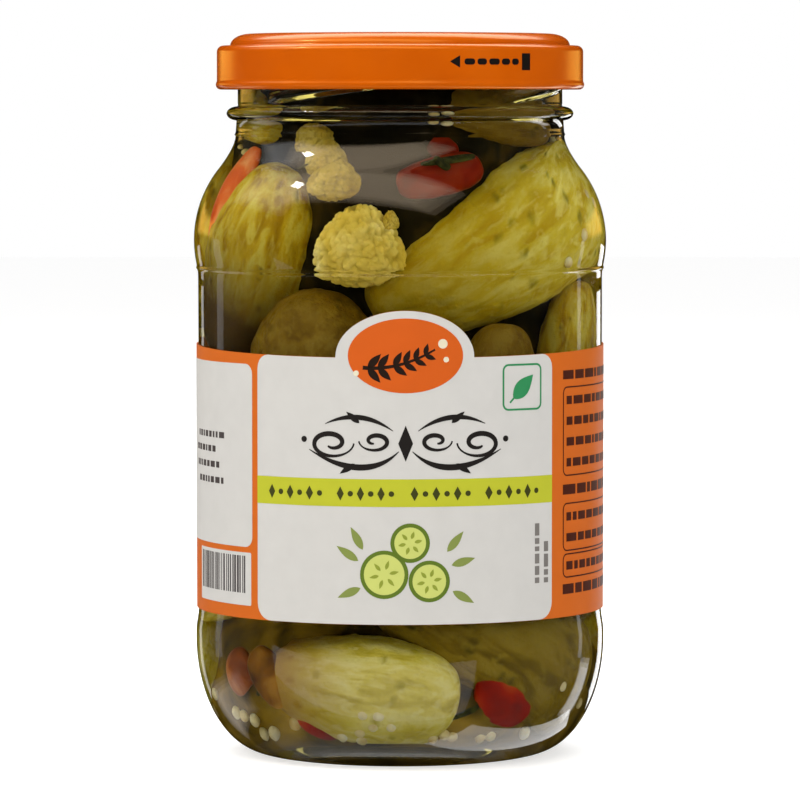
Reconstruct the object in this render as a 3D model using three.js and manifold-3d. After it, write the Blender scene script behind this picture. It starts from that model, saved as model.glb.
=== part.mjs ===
// A shut glass jar of pickled gherkins: glass jar, twist-off cap, wrap-round paper label and the heap inside.
// Millimetres, +Z up, front of the jar towards -Y, +X to the right. The origin is the middle of its foot.
import * as THREE from "three";
import { mergeVertices } from "three/addons/utils/BufferGeometryUtils.js";
import Module from "manifold-3d";

const wasm = await Module();
wasm.setup();

// Driving dimensions of the jar
const TURN_STEPS = 40;
const PANEL_RADIUS = 36.95;
const PANEL_BOTTOM = 26;
const PANEL_TOP = 88.3;
const FOOT_BULGE_RADIUS = 37.4;
const SHOULDER_RADIUS = 37.7;
const SHOULDER_HEIGHT = 93.8;
const NECK_RADIUS = 30.1;
const FINISH_RADIUS = 29.65;
const BEAD_RADIUS = 31.75;
const BEAD_HEIGHT = 116.85;
const BEAD_HALF_HEIGHT = 1.3;
const BEAD_LOW_ANGLE = -78;
const MOUTH_RADIUS = 26.8;
const MOUTH_EDGE_WIDTH = 0.6;
const MOUTH_EDGE_HEIGHT = 0.8;
const RIM_HEIGHT = 130.1;
const RIM_CORNER = 1.1;
const FOOT_RING_INNER = 21;
const FOOT_RING_OUTER = 24.5;
const PUNT_RADIUS = 18;
const PUNT_DEPTH = 2.2;
const PUNT_EDGE_DEPTH = 1.5;

// Driving dimensions of the space inside the glass
const INSIDE_RADIUS = 34.65;
const INSIDE_SHOULDER_RADIUS = 35.2;
const INSIDE_NECK_RADIUS = 27.2;
const INSIDE_FLOOR = 4.8;
const INSIDE_FLOOR_CROWN = 1;

// The heel of the jar is a quarter ellipse, outside and inside
const HEEL_HEIGHT = 21;
const INSIDE_HEEL_START = 20;
const INSIDE_HEEL_HEIGHT = 22;

// The shoulder is an arc that a short curve carries into the neck
const SHOULDER_ARC = 21;
const INSIDE_SHOULDER_ARC = 19;
const SHOULDER_ARC_TOP = 107;
const NECK_START = 113;
const NECK_BEND = 110.9;
const INSIDE_NECK_START = 114;
const INSIDE_NECK_BEND = 110.2;
const INSIDE_PANEL_TOP = 84.3;

// Thread ramps on the finish, four of them, each rising to the right
const RAMP_COUNT = 4;
const RAMP_FIRST_ANGLE = -53;
const RAMP_SPAN = 75;
const RAMP_START_HEIGHT = 119.4;
const RAMP_RISE = 5;
const RAMP_SECTION_RADIUS = 1.05;
const RAMP_STANDS_OUT = 1.2;
const RAMP_STEPS = 8;
const RAMP_END_SHARE = 1 / 8;

// Driving dimensions of the cap
const CAP_RADIUS = 33.45;
const CAP_BOTTOM = 121.2;
const CAP_CURL_RADIUS = 0.9;
const CAP_CURL_STANDS_OUT = 0.2;
const CAP_SIDE_START = 1.9;
const CAP_SIDE_START_INSIDE = 2.2;
const CAP_CORNER_RADIUS = 1.15;
const CAP_CORNER_TOP = 129.2;
const CAP_SHEET = 0.5;
const CAP_RING_INNER = 24.2;
const CAP_RING_MIDDLE = 27.4;
const CAP_RING_OUTER = 31;
const CAP_TOP = 131.35;
const CAP_PANEL = 130.55;
const CAP_PANEL_RADIUS = 22;
const CAP_PANEL_RADIUS_INSIDE = 21.4;
const CAP_GROOVE = 130.2;
const CAP_GROOVE_INNER = 23;
const CAP_GROOVE_OUTER_INSIDE = 24.6;
const CAP_BUTTON_RADIUS = 9.5;
const CAP_BUTTON_SLOPE = 1.5;
const CAP_BUTTON_RISE = 0.3;
const CAP_LUG = { length: 9, width: 1.9, height: 0.7, middle: 31.3, bottom: 121.35 };
const CAP_LUG_SHARE = 0.95;

// Driving dimensions of the label
const LABEL_INNER = 37.07;
const LABEL_THICKNESS = 0.2;
const LABEL_BOTTOM = 26.7;
const LABEL_TOP = 74.9;
const LABEL_FRONT_SAG = 1;
const LABEL_HALF_ANGLE = 175;
const LABEL_COLUMN_ANGLE = 7.5;
const LABEL_UPPER_ROW = 2;
const BADGE_COLUMNS = 14;
const BADGE_ANGLE = 1.4;
const BADGE_HALF_WIDTH = 12.5;
const BADGE_RISE = 8.35;

// Driving dimensions of what fills the jar
const WALL_GAP = 0.45;
const CORE_OUTLINE = [
  [0, 6.4],
  [19, 5.7],
  [23, 6.1],
  [28.6, 9.8],
  [29.7, 12.5],
  [25.5, 26],
  [25.5, 98],
  [23.5, 108],
  [23.5, 119],
  [21, 122.5],
  [0, 122.5],
];
const CORE_SIDES = 12;
const GHERKIN_TAPER = 0.1;
const GHERKIN_BLUNTNESS = -0.2;
const GHERKIN_SIDES = 9;
const GHERKIN_RINGS = 7;
const PEPPER_SIDES = 7;
const PEPPER_RINGS = 5;
const PEPPER_FLATNESS = 0.6;
const KNOB_SHARE = 0.32;
const KNOB_SUNK_SHARE = 0.9;
const SEED_RADIUS = 1.1;
const SEED_SUNK = 0.45;
const SEED_RANDOM_START = 7;
const BACK_START_ANGLE = 95;
const BACK_SPAN = 170;
const FOOT_SEED_HEIGHTS = [7, 13];
const UPPER_SEED_HEIGHTS = [80, 108];

const degrees = THREE.MathUtils.degToRad;

// A place round the jar: the angle is counted from the front towards the right
function place(angle, radius, height) {
  const turn = degrees(angle);
  return new THREE.Vector3(radius * Math.sin(turn), -radius * Math.cos(turn), height);
}

// Points of an ellipse in the plane of a turned outline, angles in degrees
function arcPoints(centre, halfWidth, halfHeight, from, to, steps) {
  const points = [];
  for (let i = 0; i <= steps; i += 1) {
    const angle = degrees(from + ((to - from) * i) / steps);
    points.push([centre[0] + halfWidth * Math.cos(angle), centre[1] + halfHeight * Math.sin(angle)]);
  }
  return points;
}

function curvePoints(start, control, end, steps) {
  const curve = new THREE.QuadraticBezierCurve(
    new THREE.Vector2(...start),
    new THREE.Vector2(...control),
    new THREE.Vector2(...end),
  );
  return curve.getPoints(steps).map((point) => [point.x, point.y]);
}

// Turns an outline of [radius, height] points round the jar's axis
function turned(outline) {
  const points = outline.map(([radius, height]) => new THREE.Vector2(radius, height));
  return new THREE.LatheGeometry(points, TURN_STEPS).rotateX(Math.PI / 2);
}

function solidOf(geometry) {
  const bare = geometry.clone();
  bare.deleteAttribute("normal");
  bare.deleteAttribute("uv");
  const merged = mergeVertices(bare);
  const index = merged.index.array;
  const kept = [];
  for (let i = 0; i < index.length; i += 3) {
    const [a, b, c] = [index[i], index[i + 1], index[i + 2]];
    if (a !== b && b !== c && c !== a) {
      kept.push(a, b, c);
    }
  }
  return new wasm.Manifold(
    new wasm.Mesh({
      numProp: 3,
      vertProperties: Float32Array.from(merged.attributes.position.array),
      triVerts: Uint32Array.from(kept),
    }),
  );
}

function geometryOf(solid) {
  const mesh = solid.getMesh();
  const geometry = new THREE.BufferGeometry();
  geometry.setAttribute("position", new THREE.BufferAttribute(mesh.vertProperties, mesh.numProp));
  geometry.setIndex(new THREE.BufferAttribute(mesh.triVerts, 1));
  geometry.computeVertexNormals();
  return geometry;
}

function moveVertices(geometry, move) {
  const position = geometry.attributes.position;
  const point = new THREE.Vector3();
  for (let i = 0; i < position.count; i += 1) {
    point.fromBufferAttribute(position, i);
    move(point);
    position.setXYZ(i, point.x, point.y, point.z);
  }
  return geometry;
}

// The glass jar

function jarOutside() {
  const shoulderCentre = [SHOULDER_RADIUS - SHOULDER_ARC, SHOULDER_HEIGHT];
  const shoulderEnd = (Math.asin((SHOULDER_ARC_TOP - SHOULDER_HEIGHT) / SHOULDER_ARC) * 180) / Math.PI;
  const shoulder = arcPoints(shoulderCentre, SHOULDER_ARC, SHOULDER_ARC, 0, shoulderEnd, 4);
  const shoulderTop = shoulder[shoulder.length - 1];
  const beadMiddle = [FINISH_RADIUS, BEAD_HEIGHT];
  const bead = arcPoints(beadMiddle, BEAD_RADIUS - FINISH_RADIUS, BEAD_HALF_HEIGHT, BEAD_LOW_ANGLE, 90, 4);
  return [
    [0, PUNT_DEPTH],
    [PUNT_RADIUS, PUNT_EDGE_DEPTH],
    [FOOT_RING_INNER, 0],
    ...arcPoints([FOOT_RING_OUTER, HEEL_HEIGHT], FOOT_BULGE_RADIUS - FOOT_RING_OUTER, HEEL_HEIGHT, -90, 0, 7),
    [PANEL_RADIUS, PANEL_BOTTOM],
    [PANEL_RADIUS, PANEL_TOP],
    ...shoulder,
    ...curvePoints(shoulderTop, [NECK_RADIUS, NECK_BEND], [NECK_RADIUS, NECK_START], 2).slice(1),
    ...bead,
    ...arcPoints([FINISH_RADIUS - RIM_CORNER, RIM_HEIGHT - RIM_CORNER], RIM_CORNER, RIM_CORNER, 0, 90, 2),
    [MOUTH_RADIUS + MOUTH_EDGE_WIDTH, RIM_HEIGHT],
    [MOUTH_RADIUS, RIM_HEIGHT - MOUTH_EDGE_HEIGHT],
  ];
}

function jarInside() {
  const shoulderCentre = [INSIDE_SHOULDER_RADIUS - INSIDE_SHOULDER_ARC, SHOULDER_HEIGHT];
  const shoulderEnd = (Math.asin((SHOULDER_ARC_TOP - SHOULDER_HEIGHT) / INSIDE_SHOULDER_ARC) * 180) / Math.PI;
  const shoulder = arcPoints(shoulderCentre, INSIDE_SHOULDER_ARC, INSIDE_SHOULDER_ARC, 0, shoulderEnd, 3);
  const shoulderTop = shoulder[shoulder.length - 1];
  const heelHeight = INSIDE_HEEL_HEIGHT - INSIDE_FLOOR;
  const heelWidth = INSIDE_RADIUS - INSIDE_HEEL_START;
  const neckStart = [INSIDE_NECK_RADIUS, INSIDE_NECK_START];
  return [
    [0, INSIDE_FLOOR + INSIDE_FLOOR_CROWN],
    ...arcPoints([INSIDE_HEEL_START, INSIDE_HEEL_HEIGHT], heelWidth, heelHeight, -90, 0, 4),
    [INSIDE_RADIUS, INSIDE_PANEL_TOP],
    ...shoulder,
    ...curvePoints(shoulderTop, [INSIDE_NECK_RADIUS, INSIDE_NECK_BEND], neckStart, 2).slice(1),
  ];
}

function threadRamp(firstAngle) {
  const points = [];
  for (let i = 0; i <= RAMP_STEPS; i += 1) {
    const along = i / RAMP_STEPS;
    const sunkEnd = Math.max(0, 1 - Math.min(along, 1 - along) / RAMP_END_SHARE) * RAMP_STANDS_OUT;
    const radius = FINISH_RADIUS + RAMP_STANDS_OUT - RAMP_SECTION_RADIUS - sunkEnd;
    points.push(place(firstAngle + RAMP_SPAN * along, radius, RAMP_START_HEIGHT + RAMP_RISE * along));
  }
  const section = new THREE.Shape().absarc(0, 0, RAMP_SECTION_RADIUS, 0, 2 * Math.PI);
  return new THREE.ExtrudeGeometry(section, {
    steps: RAMP_STEPS,
    curveSegments: 4,
    bevelEnabled: false,
    extrudePath: new THREE.CatmullRomCurve3(points),
  });
}

function jarGeometry() {
  let glass = solidOf(turned([...jarOutside(), ...jarInside().reverse()]));
  for (let i = 0; i < RAMP_COUNT; i += 1) {
    glass = glass.add(solidOf(threadRamp(RAMP_FIRST_ANGLE + (360 / RAMP_COUNT) * i)));
  }
  return geometryOf(glass);
}

// The twist-off cap

function capOutline() {
  const sheet = CAP_SHEET;
  const curlMiddle = [CAP_RADIUS + CAP_CURL_STANDS_OUT - CAP_CURL_RADIUS, CAP_BOTTOM + CAP_CURL_RADIUS];
  const cornerMiddle = [CAP_RADIUS - CAP_CORNER_RADIUS, CAP_CORNER_TOP - CAP_CORNER_RADIUS];
  const ringMiddle = [CAP_RING_MIDDLE, CAP_CORNER_TOP];
  const ringRise = CAP_TOP - CAP_CORNER_TOP;
  const ringWidth = CAP_RING_OUTER - CAP_RING_MIDDLE;
  const under = [
    [0, CAP_PANEL - sheet],
    [CAP_PANEL_RADIUS_INSIDE, CAP_PANEL - sheet],
    [CAP_GROOVE_OUTER_INSIDE, CAP_GROOVE - sheet],
    ...arcPoints(ringMiddle, ringWidth - sheet, ringRise - sheet, 125, 0, 2),
    [CAP_RING_OUTER, CAP_CORNER_TOP - sheet],
    ...arcPoints(cornerMiddle, CAP_CORNER_RADIUS - sheet, CAP_CORNER_RADIUS - sheet, 90, 0, 1),
    [CAP_RADIUS - sheet, CAP_BOTTOM + CAP_SIDE_START_INSIDE],
  ];
  const curl = arcPoints(curlMiddle, CAP_CURL_RADIUS, CAP_CURL_RADIUS, -220, 38, 4);
  const over = [
    [CAP_RADIUS, CAP_BOTTOM + CAP_SIDE_START],
    ...arcPoints(cornerMiddle, CAP_CORNER_RADIUS, CAP_CORNER_RADIUS, 0, 90, 3),
    ...arcPoints(ringMiddle, ringWidth, ringRise, 0, 125, 4),
    [CAP_RING_INNER, CAP_GROOVE],
    [CAP_GROOVE_INNER, CAP_GROOVE],
    [CAP_PANEL_RADIUS, CAP_PANEL],
    [CAP_BUTTON_RADIUS + CAP_BUTTON_SLOPE, CAP_PANEL],
    [CAP_BUTTON_RADIUS, CAP_PANEL + CAP_BUTTON_RISE],
    [0, CAP_PANEL + CAP_BUTTON_RISE],
  ];
  return [...under, ...curl, ...over];
}

// A lug folded in from the curl holds under the high end of each ramp
function capLug(angle) {
  const lug = new THREE.BoxGeometry(CAP_LUG.length, CAP_LUG.width, CAP_LUG.height);
  lug.rotateZ(degrees(angle));
  const middle = place(angle, CAP_LUG.middle, CAP_LUG.bottom + CAP_LUG.height / 2);
  return lug.translate(middle.x, middle.y, middle.z);
}

function capGeometry() {
  let cap = solidOf(turned(capOutline()));
  const heldAngle = RAMP_FIRST_ANGLE + RAMP_SPAN * CAP_LUG_SHARE;
  for (let i = 0; i < RAMP_COUNT; i += 1) {
    cap = cap.add(solidOf(capLug(heldAngle + (360 / RAMP_COUNT) * i)));
  }
  return geometryOf(cap);
}

// The paper label, a thin skin with a rounded badge standing up from its top edge at the front

function badgeTop(arcLength) {
  const across = arcLength / BADGE_HALF_WIDTH;
  return Math.abs(across) < 1 ? BADGE_RISE * Math.sqrt(1 - across * across) : 0;
}

function labelColumns() {
  const badgeHalfAngle = (BADGE_HALF_WIDTH / LABEL_INNER) * (180 / Math.PI);
  const columns = [];
  for (let i = 0; i <= BADGE_COLUMNS; i += 1) {
    columns.push(BADGE_ANGLE - badgeHalfAngle * Math.cos((Math.PI * i) / BADGE_COLUMNS));
  }
  const sideSpan = LABEL_HALF_ANGLE - badgeHalfAngle;
  const sideSteps = Math.round(sideSpan / LABEL_COLUMN_ANGLE);
  for (const side of [-1, 1]) {
    const start = BADGE_ANGLE + side * badgeHalfAngle;
    const end = side * LABEL_HALF_ANGLE;
    for (let i = 1; i <= sideSteps; i += 1) {
      columns.push(start + ((end - start) * i) / sideSteps);
    }
  }
  return columns.sort((a, b) => a - b);
}

function labelGeometry() {
  const columns = labelColumns();
  const last = columns.length - 1;
  const skin = new THREE.BoxGeometry(last, 1, 1, last, 2, 1);
  return moveVertices(skin, (point) => {
    const angle = columns[Math.round(point.x + last / 2)];
    const sag = LABEL_FRONT_SAG * Math.max(0, Math.cos(degrees(angle)));
    const edge = LABEL_TOP - sag;
    const badge = badgeTop(degrees(angle - BADGE_ANGLE) * LABEL_INNER);
    const rows = [LABEL_BOTTOM, edge - LABEL_UPPER_ROW, edge + badge];
    const height = rows[Math.round(2 * (point.y + 0.5))];
    point.copy(place(angle, LABEL_INNER + LABEL_THICKNESS * (0.5 + point.z), height));
  });
}

// What fills the jar

// How far out a piece may reach at a height, just clear of the glass
const insideOutline = jarInside();
function reachAt(height) {
  for (let i = 1; i < insideOutline.length; i += 1) {
    const [lowRadius, low] = insideOutline[i - 1];
    const [highRadius, high] = insideOutline[i];
    if (height <= high && high > low) {
      const along = Math.max(0, (height - low) / (high - low));
      return lowRadius + (highRadius - lowRadius) * along - WALL_GAP;
    }
  }
  return INSIDE_NECK_RADIUS - WALL_GAP;
}

// Presses a soft piece in where it would cross the glass
function pressedIn(geometry) {
  return moveVertices(geometry, (point) => {
    point.z = Math.max(point.z, INSIDE_FLOOR + INSIDE_FLOOR_CROWN + WALL_GAP);
    const radius = Math.hypot(point.x, point.y);
    const reach = reachAt(point.z);
    if (radius > reach) {
      point.x *= reach / radius;
      point.y *= reach / radius;
    }
  });
}

// A rounded body along a bowed line from tip to tip, as a gherkin grows
function gherkin({ from, to, width, bow }, sides, rings, flatness = 1) {
  const start = new THREE.Vector3(...from);
  const end = new THREE.Vector3(...to);
  const middle = start.clone().add(end).multiplyScalar(0.5);
  const outward = new THREE.Vector3(middle.x, middle.y, 0).normalize();
  const control = middle.addScaledVector(outward, 2 * bow);
  const line = new THREE.QuadraticBezierCurve3(start, control, end);
  const side = new THREE.Vector3();
  const up = new THREE.Vector3();
  return moveVertices(new THREE.SphereGeometry(1, sides, rings), (point) => {
    const along = (point.y + 1) / 2;
    const roundness = Math.pow(Math.max(1e-6, 1 - point.y * point.y), GHERKIN_BLUNTNESS);
    const thickness = (width / 2) * roundness * (1 + GHERKIN_TAPER * point.y);
    const tangent = line.getTangent(along);
    side.crossVectors(tangent, outward).normalize();
    up.crossVectors(side, tangent);
    const centre = line.getPoint(along);
    const [across, over] = [point.x * thickness, point.z * thickness * flatness];
    point.copy(centre).addScaledVector(side, across).addScaledVector(up, over);
  });
}

const GHERKINS = [
  // Front, above the label
  { from: [-4.5, -24.5, 81.5], to: [33, 2, 106], width: 22.5, bow: 5 },
  { from: [-17.8, -16, 104.6], to: [-26.5, -7, 73], width: 21, bow: 1 },
  { from: [-17.3, -32, 75.5], to: [-4, 8, 72], width: 25, bow: 0 },
  { from: [17.5, -25, 79.5], to: [13, -25, 42], width: 17, bow: 1 },
  { from: [28, -8, 86.5], to: [26, -12, 44], width: 16, bow: 1 },
  // Back, above the label
  { from: [22, 16, 112], to: [26, 12, 66], width: 17, bow: 2 },
  { from: [10, 24, 109], to: [-22, 16, 80], width: 18, bow: 4 },
  { from: [-14, 22, 111], to: [-27, 2, 88], width: 15, bow: 3 },
  { from: [19, 22, 88], to: [-8, 27, 72], width: 16, bow: 4 },
  // Neck
  { from: [3, -17, 118.5], to: [23, -6, 113.5], width: 12, bow: 3 },
  { from: [20, 2, 116.5], to: [-4, 20, 118.5], width: 12, bow: 4 },
  { from: [-10, 16, 118.5], to: [-19, -12, 113.5], width: 12, bow: 4 },
  // At the gap in the label
  { from: [0, 27, 76], to: [2, 26, 30], width: 17, bow: 1 },
  // Foot of the jar
  { from: [-20.5, -19, 16.5], to: [9.5, -26.8, 13.5], width: 17.5, bow: 5 },
  { from: [-3, -23, 30], to: [30, -8, 13], width: 21, bow: 5 },
  { from: [27, 2, 26], to: [8, 27, 15], width: 18, bow: 6 },
  { from: [14, 25, 25], to: [-20, 20, 16], width: 17, bow: 6 },
  { from: [-16, 24, 28], to: [-30, -4, 15], width: 17, bow: 5 },
  { from: [-26, -14, 34], to: [-29, 4, 28], width: 14, bow: 2 },
];

const PEPPERS = [
  { from: [-23.5, -10.5, 109.5], to: [-29.5, -9, 91.5], width: 8, bow: 0.8 },
  { from: [-0.5, -24.5, 102.5], to: [13.5, -22, 106.5], width: 7.5, bow: 1 },
  { from: [4, -20, 113], to: [8.5, -21, 107.5], width: 5, bow: 0.5 },
  { from: [12.5, -26.8, 15.2], to: [23, -20.8, 13.2], width: 11, bow: 1 },
  { from: [-26.5, -13.5, 19.5], to: [-25, -17.5, 14], width: 8, bow: 1 },
  { from: [-24.5, -20, 20.5], to: [-19, -24.5, 12.5], width: 8, bow: 0.5 },
  { from: [-17.5, -24, 10], to: [-10.5, -27, 9], width: 5.5, bow: 0.5 },
  { from: [26, 19, 92], to: [12, 30, 99], width: 7, bow: 2 },
  { from: [-31, 9, 20], to: [-27, 17, 11], width: 8, bow: 1 },
  { from: [-8, 31, 98], to: [-19, 24, 91], width: 6, bow: 1 },
];

const FLORETS = [
  { middle: [-6.7, -27, 93], size: [7.9, 6.5, 7.5], knobs: 10 },
  { middle: [-14.7, -20.9, 112.4], size: [3.9, 3.3, 4.4], knobs: 2 },
  { middle: [-12.7, -23.6, 108], size: [3.9, 3.3, 4.4], knobs: 2 },
  { middle: [-11.2, -25.8, 104.2], size: [4.7, 3.8, 4], knobs: 2 },
  { middle: [-1.6, -28.6, 97.4], size: [1.5, 1.5, 1.8], knobs: 0 },
  { middle: [6, 25, 90], size: [8, 7, 8], knobs: 4 },
];

// A pickled floret: a rounded lump with a crumbly head of small knobs, spread by the golden angle
function floret({ middle, size, knobs }) {
  const parts = [pressedIn(new THREE.SphereGeometry(1, 8, 6).scale(...size).translate(...middle))];
  for (let i = 0; i < knobs; i += 1) {
    const height = 1 - (2 * (i + 0.5)) / knobs;
    const ring = Math.sqrt(1 - height * height);
    const turn = i * Math.PI * (3 - Math.sqrt(5));
    const direction = new THREE.Vector3(ring * Math.cos(turn), ring * Math.sin(turn), height);
    const knob = new THREE.SphereGeometry(1, 5, 4).scale(...size.map((length) => length * KNOB_SHARE));
    const offset = direction.multiply(new THREE.Vector3(...size)).multiplyScalar(KNOB_SUNK_SHARE);
    parts.push(pressedIn(knob.translate(...offset.toArray()).translate(...middle)));
  }
  return parts;
}

function core() {
  const outline = CORE_OUTLINE.map(([radius, height]) => new THREE.Vector2(radius, height));
  return new THREE.LatheGeometry(outline, CORE_SIDES).rotateX(Math.PI / 2);
}

// Mustard seeds lie where they are seen against the glass, and more are spread round by a seeded draw
const SEEN_SEEDS = [
  [-82, 102],
  [-84, 99.5],
  [-85, 97],
  [75, 101.5],
  [79, 100],
  [66, 95],
  [58, 90.5],
  [14, 117],
  [20, 116.5],
  [-66, 9.5],
  [-62, 9.1],
  [-57, 8.6],
  [-38, 8.4],
  [-57, 6.8],
  [-51, 6.9],
  [-21, 7],
  [-14, 7.7],
  [-12, 10.6],
  [-7, 10.4],
  [-9, 8.6],
  [-3, 8.6],
  [-14, 6.6],
  [12, 6.8],
  [16, 7.2],
  [19, 7],
  [30, 6.8],
  [34, 7],
  [50, 7],
  [58, 14.2],
];
const LOOSE_SEEDS = 6;

function seedPlaces() {
  let state = SEED_RANDOM_START;
  const draw = () => {
    state = (state * 16807) % 2147483647; // the minimal standard generator
    return state / 2147483647;
  };
  const places = [...SEEN_SEEDS];
  for (let i = 0; i < LOOSE_SEEDS; i += 1) {
    const angle = BACK_START_ANGLE + (BACK_SPAN * (i + draw())) / LOOSE_SEEDS;
    const [low, high] = i % 2 === 0 ? FOOT_SEED_HEIGHTS : UPPER_SEED_HEIGHTS;
    places.push([angle, low + (high - low) * draw()]);
  }
  return places;
}

function heapGeometry() {
  const pieces = [core()];
  for (const piece of GHERKINS) {
    pieces.push(pressedIn(gherkin(piece, GHERKIN_SIDES, GHERKIN_RINGS)));
  }
  for (const piece of PEPPERS) {
    pieces.push(pressedIn(gherkin(piece, PEPPER_SIDES, PEPPER_RINGS, PEPPER_FLATNESS)));
  }
  for (const piece of FLORETS) {
    pieces.push(...floret(piece));
  }
  let heap = wasm.Manifold.union(pieces.map(solidOf));
  const surface = new THREE.Mesh(geometryOf(heap));
  const ray = new THREE.Raycaster();
  const seeds = [];
  for (const [angle, height] of seedPlaces()) {
    const reach = Math.min(reachAt(height - SEED_RADIUS), reachAt(height + SEED_RADIUS));
    const start = place(angle, reach, height);
    ray.set(start, new THREE.Vector3(-start.x, -start.y, 0).normalize());
    const hit = ray.intersectObject(surface)[0];
    const depth = hit ? hit.distance : 0;
    const radius = reach - Math.max(SEED_RADIUS, depth - SEED_SUNK);
    const seed = new THREE.SphereGeometry(SEED_RADIUS, 5, 4);
    seeds.push(solidOf(seed.translate(...place(angle, radius, height).toArray())));
  }
  heap = wasm.Manifold.union([heap, ...seeds]);
  return geometryOf(heap);
}

function sheetMetal() {
  return new THREE.MeshStandardMaterial({ color: "#e0700f", roughness: 0.35, metalness: 0.2 });
}

function clearGlass() {
  return new THREE.MeshStandardMaterial({
    color: "#dfe8e0",
    roughness: 0.05,
    metalness: 0,
    transparent: true,
    opacity: 0.3,
  });
}

function paper() {
  return new THREE.MeshStandardMaterial({ color: "#d4d3cf", roughness: 0.5, metalness: 0 });
}

function pickled() {
  return new THREE.MeshStandardMaterial({ color: "#8b7a22", roughness: 0.4, metalness: 0 });
}

function addNode(group, name, geometry, material) {
  const mesh = new THREE.Mesh(geometry, material);
  mesh.name = name;
  group.add(mesh);
}

const jar = new THREE.Group();
addNode(jar, "jar", jarGeometry(), clearGlass());
addNode(jar, "lid", capGeometry(), sheetMetal());
addNode(jar, "label", labelGeometry(), paper());
addNode(jar, "pickle_heap", heapGeometry(), pickled());

export default jar;
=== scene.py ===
"""A shut glass jar of pickled gherkins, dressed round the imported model.

Lengths are millimetres until a mesh is made. Angles round the jar are degrees from the front towards the right.
"""

import math

import bmesh
import bpy
import numpy as np
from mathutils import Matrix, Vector
from mathutils.bvhtree import BVHTree
from mathutils.geometry import tessellate_polygon


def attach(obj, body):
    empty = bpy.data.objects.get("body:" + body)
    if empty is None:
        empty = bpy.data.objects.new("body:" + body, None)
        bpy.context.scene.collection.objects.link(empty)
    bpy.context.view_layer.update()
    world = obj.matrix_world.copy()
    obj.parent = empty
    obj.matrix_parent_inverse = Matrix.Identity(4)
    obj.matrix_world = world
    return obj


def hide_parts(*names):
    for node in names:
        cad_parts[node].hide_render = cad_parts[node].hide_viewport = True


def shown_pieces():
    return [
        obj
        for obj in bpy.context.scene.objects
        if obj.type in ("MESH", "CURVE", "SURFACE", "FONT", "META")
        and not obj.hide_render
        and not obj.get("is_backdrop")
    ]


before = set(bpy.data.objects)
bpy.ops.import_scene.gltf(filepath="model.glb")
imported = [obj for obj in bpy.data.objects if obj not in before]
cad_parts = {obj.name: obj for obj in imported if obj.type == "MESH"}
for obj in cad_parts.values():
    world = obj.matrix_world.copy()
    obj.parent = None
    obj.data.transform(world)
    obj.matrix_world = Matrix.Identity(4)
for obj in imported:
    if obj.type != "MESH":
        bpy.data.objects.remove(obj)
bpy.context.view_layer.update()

MM = 0.001

# The camera, level with the neck of the jar and a little under a metre away
CAMERA_DISTANCE = 952
CAMERA_HEIGHT = 119.3
CAMERA_TILT = 3.302
CAMERA_LENS = 234

# The jar outside
PANEL_RADIUS = 36.95
PANEL_BOTTOM = 26
PANEL_TOP = 88.3
STEP_START = 85.5
STEP_SOFTNESS = 0.12
STEP_LINE = 0.2
STEP_LINE_HALF_WIDTH = 0.3
STEP_LINE_RISE = 0.4
FOOT_BULGE_RADIUS = 37.4
SHOULDER_RADIUS = 37.7
SHOULDER_HEIGHT = 93.8
SHOULDER_ARC = 21
SHOULDER_ARC_TOP = 107
NECK_RADIUS = 30.1
NECK_START = 113
FINISH_RADIUS = 29.65
BEAD_RADIUS = 31.75
BEAD_HEIGHT = 116.85
MOUTH_RADIUS = 26.8
RIM_HEIGHT = 130.1
FOOT_RING_INNER = 21
FOOT_RING_OUTER = 24.5
PUNT_DEPTH = 2.2
HEEL_HEIGHT = 21

# The space inside the glass
INSIDE_RADIUS = 34.65
INSIDE_SHOULDER_RADIUS = 35.2
INSIDE_SHOULDER_ARC = 19
INSIDE_NECK_RADIUS = 27.2
INSIDE_FLOOR = 4.8
INSIDE_HEEL_START = 20
INSIDE_HEEL_HEIGHT = 22
BRINE_TOP = 123.6
BRINE_REACH = 0.5

# How far apart the layers of a light that fades at its edges lie, and how much smaller each one is
LAYER_GAP = 0.01
LAYER_SHRINK = 0.14

# How much of a lamp's light each clear surface lets through
LAMP_SHARE = 0.83

# How much the pieces in the brine shine, as brine bends light nearly as much as they do
WET_GLINT = 0.08

# Thread ramps on the finish
RAMP_COUNT = 4
RAMP_FIRST_ANGLE = -53
RAMP_SPAN = 75
RAMP_START_HEIGHT = 119.4
RAMP_RISE = 5
RAMP_SECTION_RADIUS = 1.05
RAMP_STANDS_OUT = 1.2

# The cap
CAP_RADIUS = 33.45
CAP_BOTTOM = 121.2
CAP_CURL_RADIUS = 0.9
CAP_CORNER_RADIUS = 1.15
CAP_CORNER_TOP = 129.2
CAP_SHEET = 0.5
CAP_RING_INNER = 24.2
CAP_RING_MIDDLE = 27.4
CAP_RING_OUTER = 31
CAP_TOP = 131.35
CAP_PANEL = 130.55
CAP_GROOVE = 130.2
CAP_BUTTON_RADIUS = 9.5
CAP_BUTTON_RISE = 0.3
CAP_LUG_HALF_LENGTH = 4.5
CAP_LUG_HALF_WIDTH = 0.95
CAP_LUG_HEIGHT = 0.7
CAP_LUG_MIDDLE = 31.3
CAP_LUG_BOTTOM = 121.35

# The label, and the layers of ink on it
LABEL_INNER = 37.07
LABEL_OUTER = 37.27
LABEL_BOTTOM = 26.7
LABEL_TOP = 74.9
LABEL_FRONT_SAG = 1.0
LABEL_HALF_ANGLE = 175
BADGE_ALONG = 0.9
BADGE_HALF_WIDTH = 12.5
BADGE_RISE = 8.35
INK_STEP = 0.03
WRAP_STEP = 0.8

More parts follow.
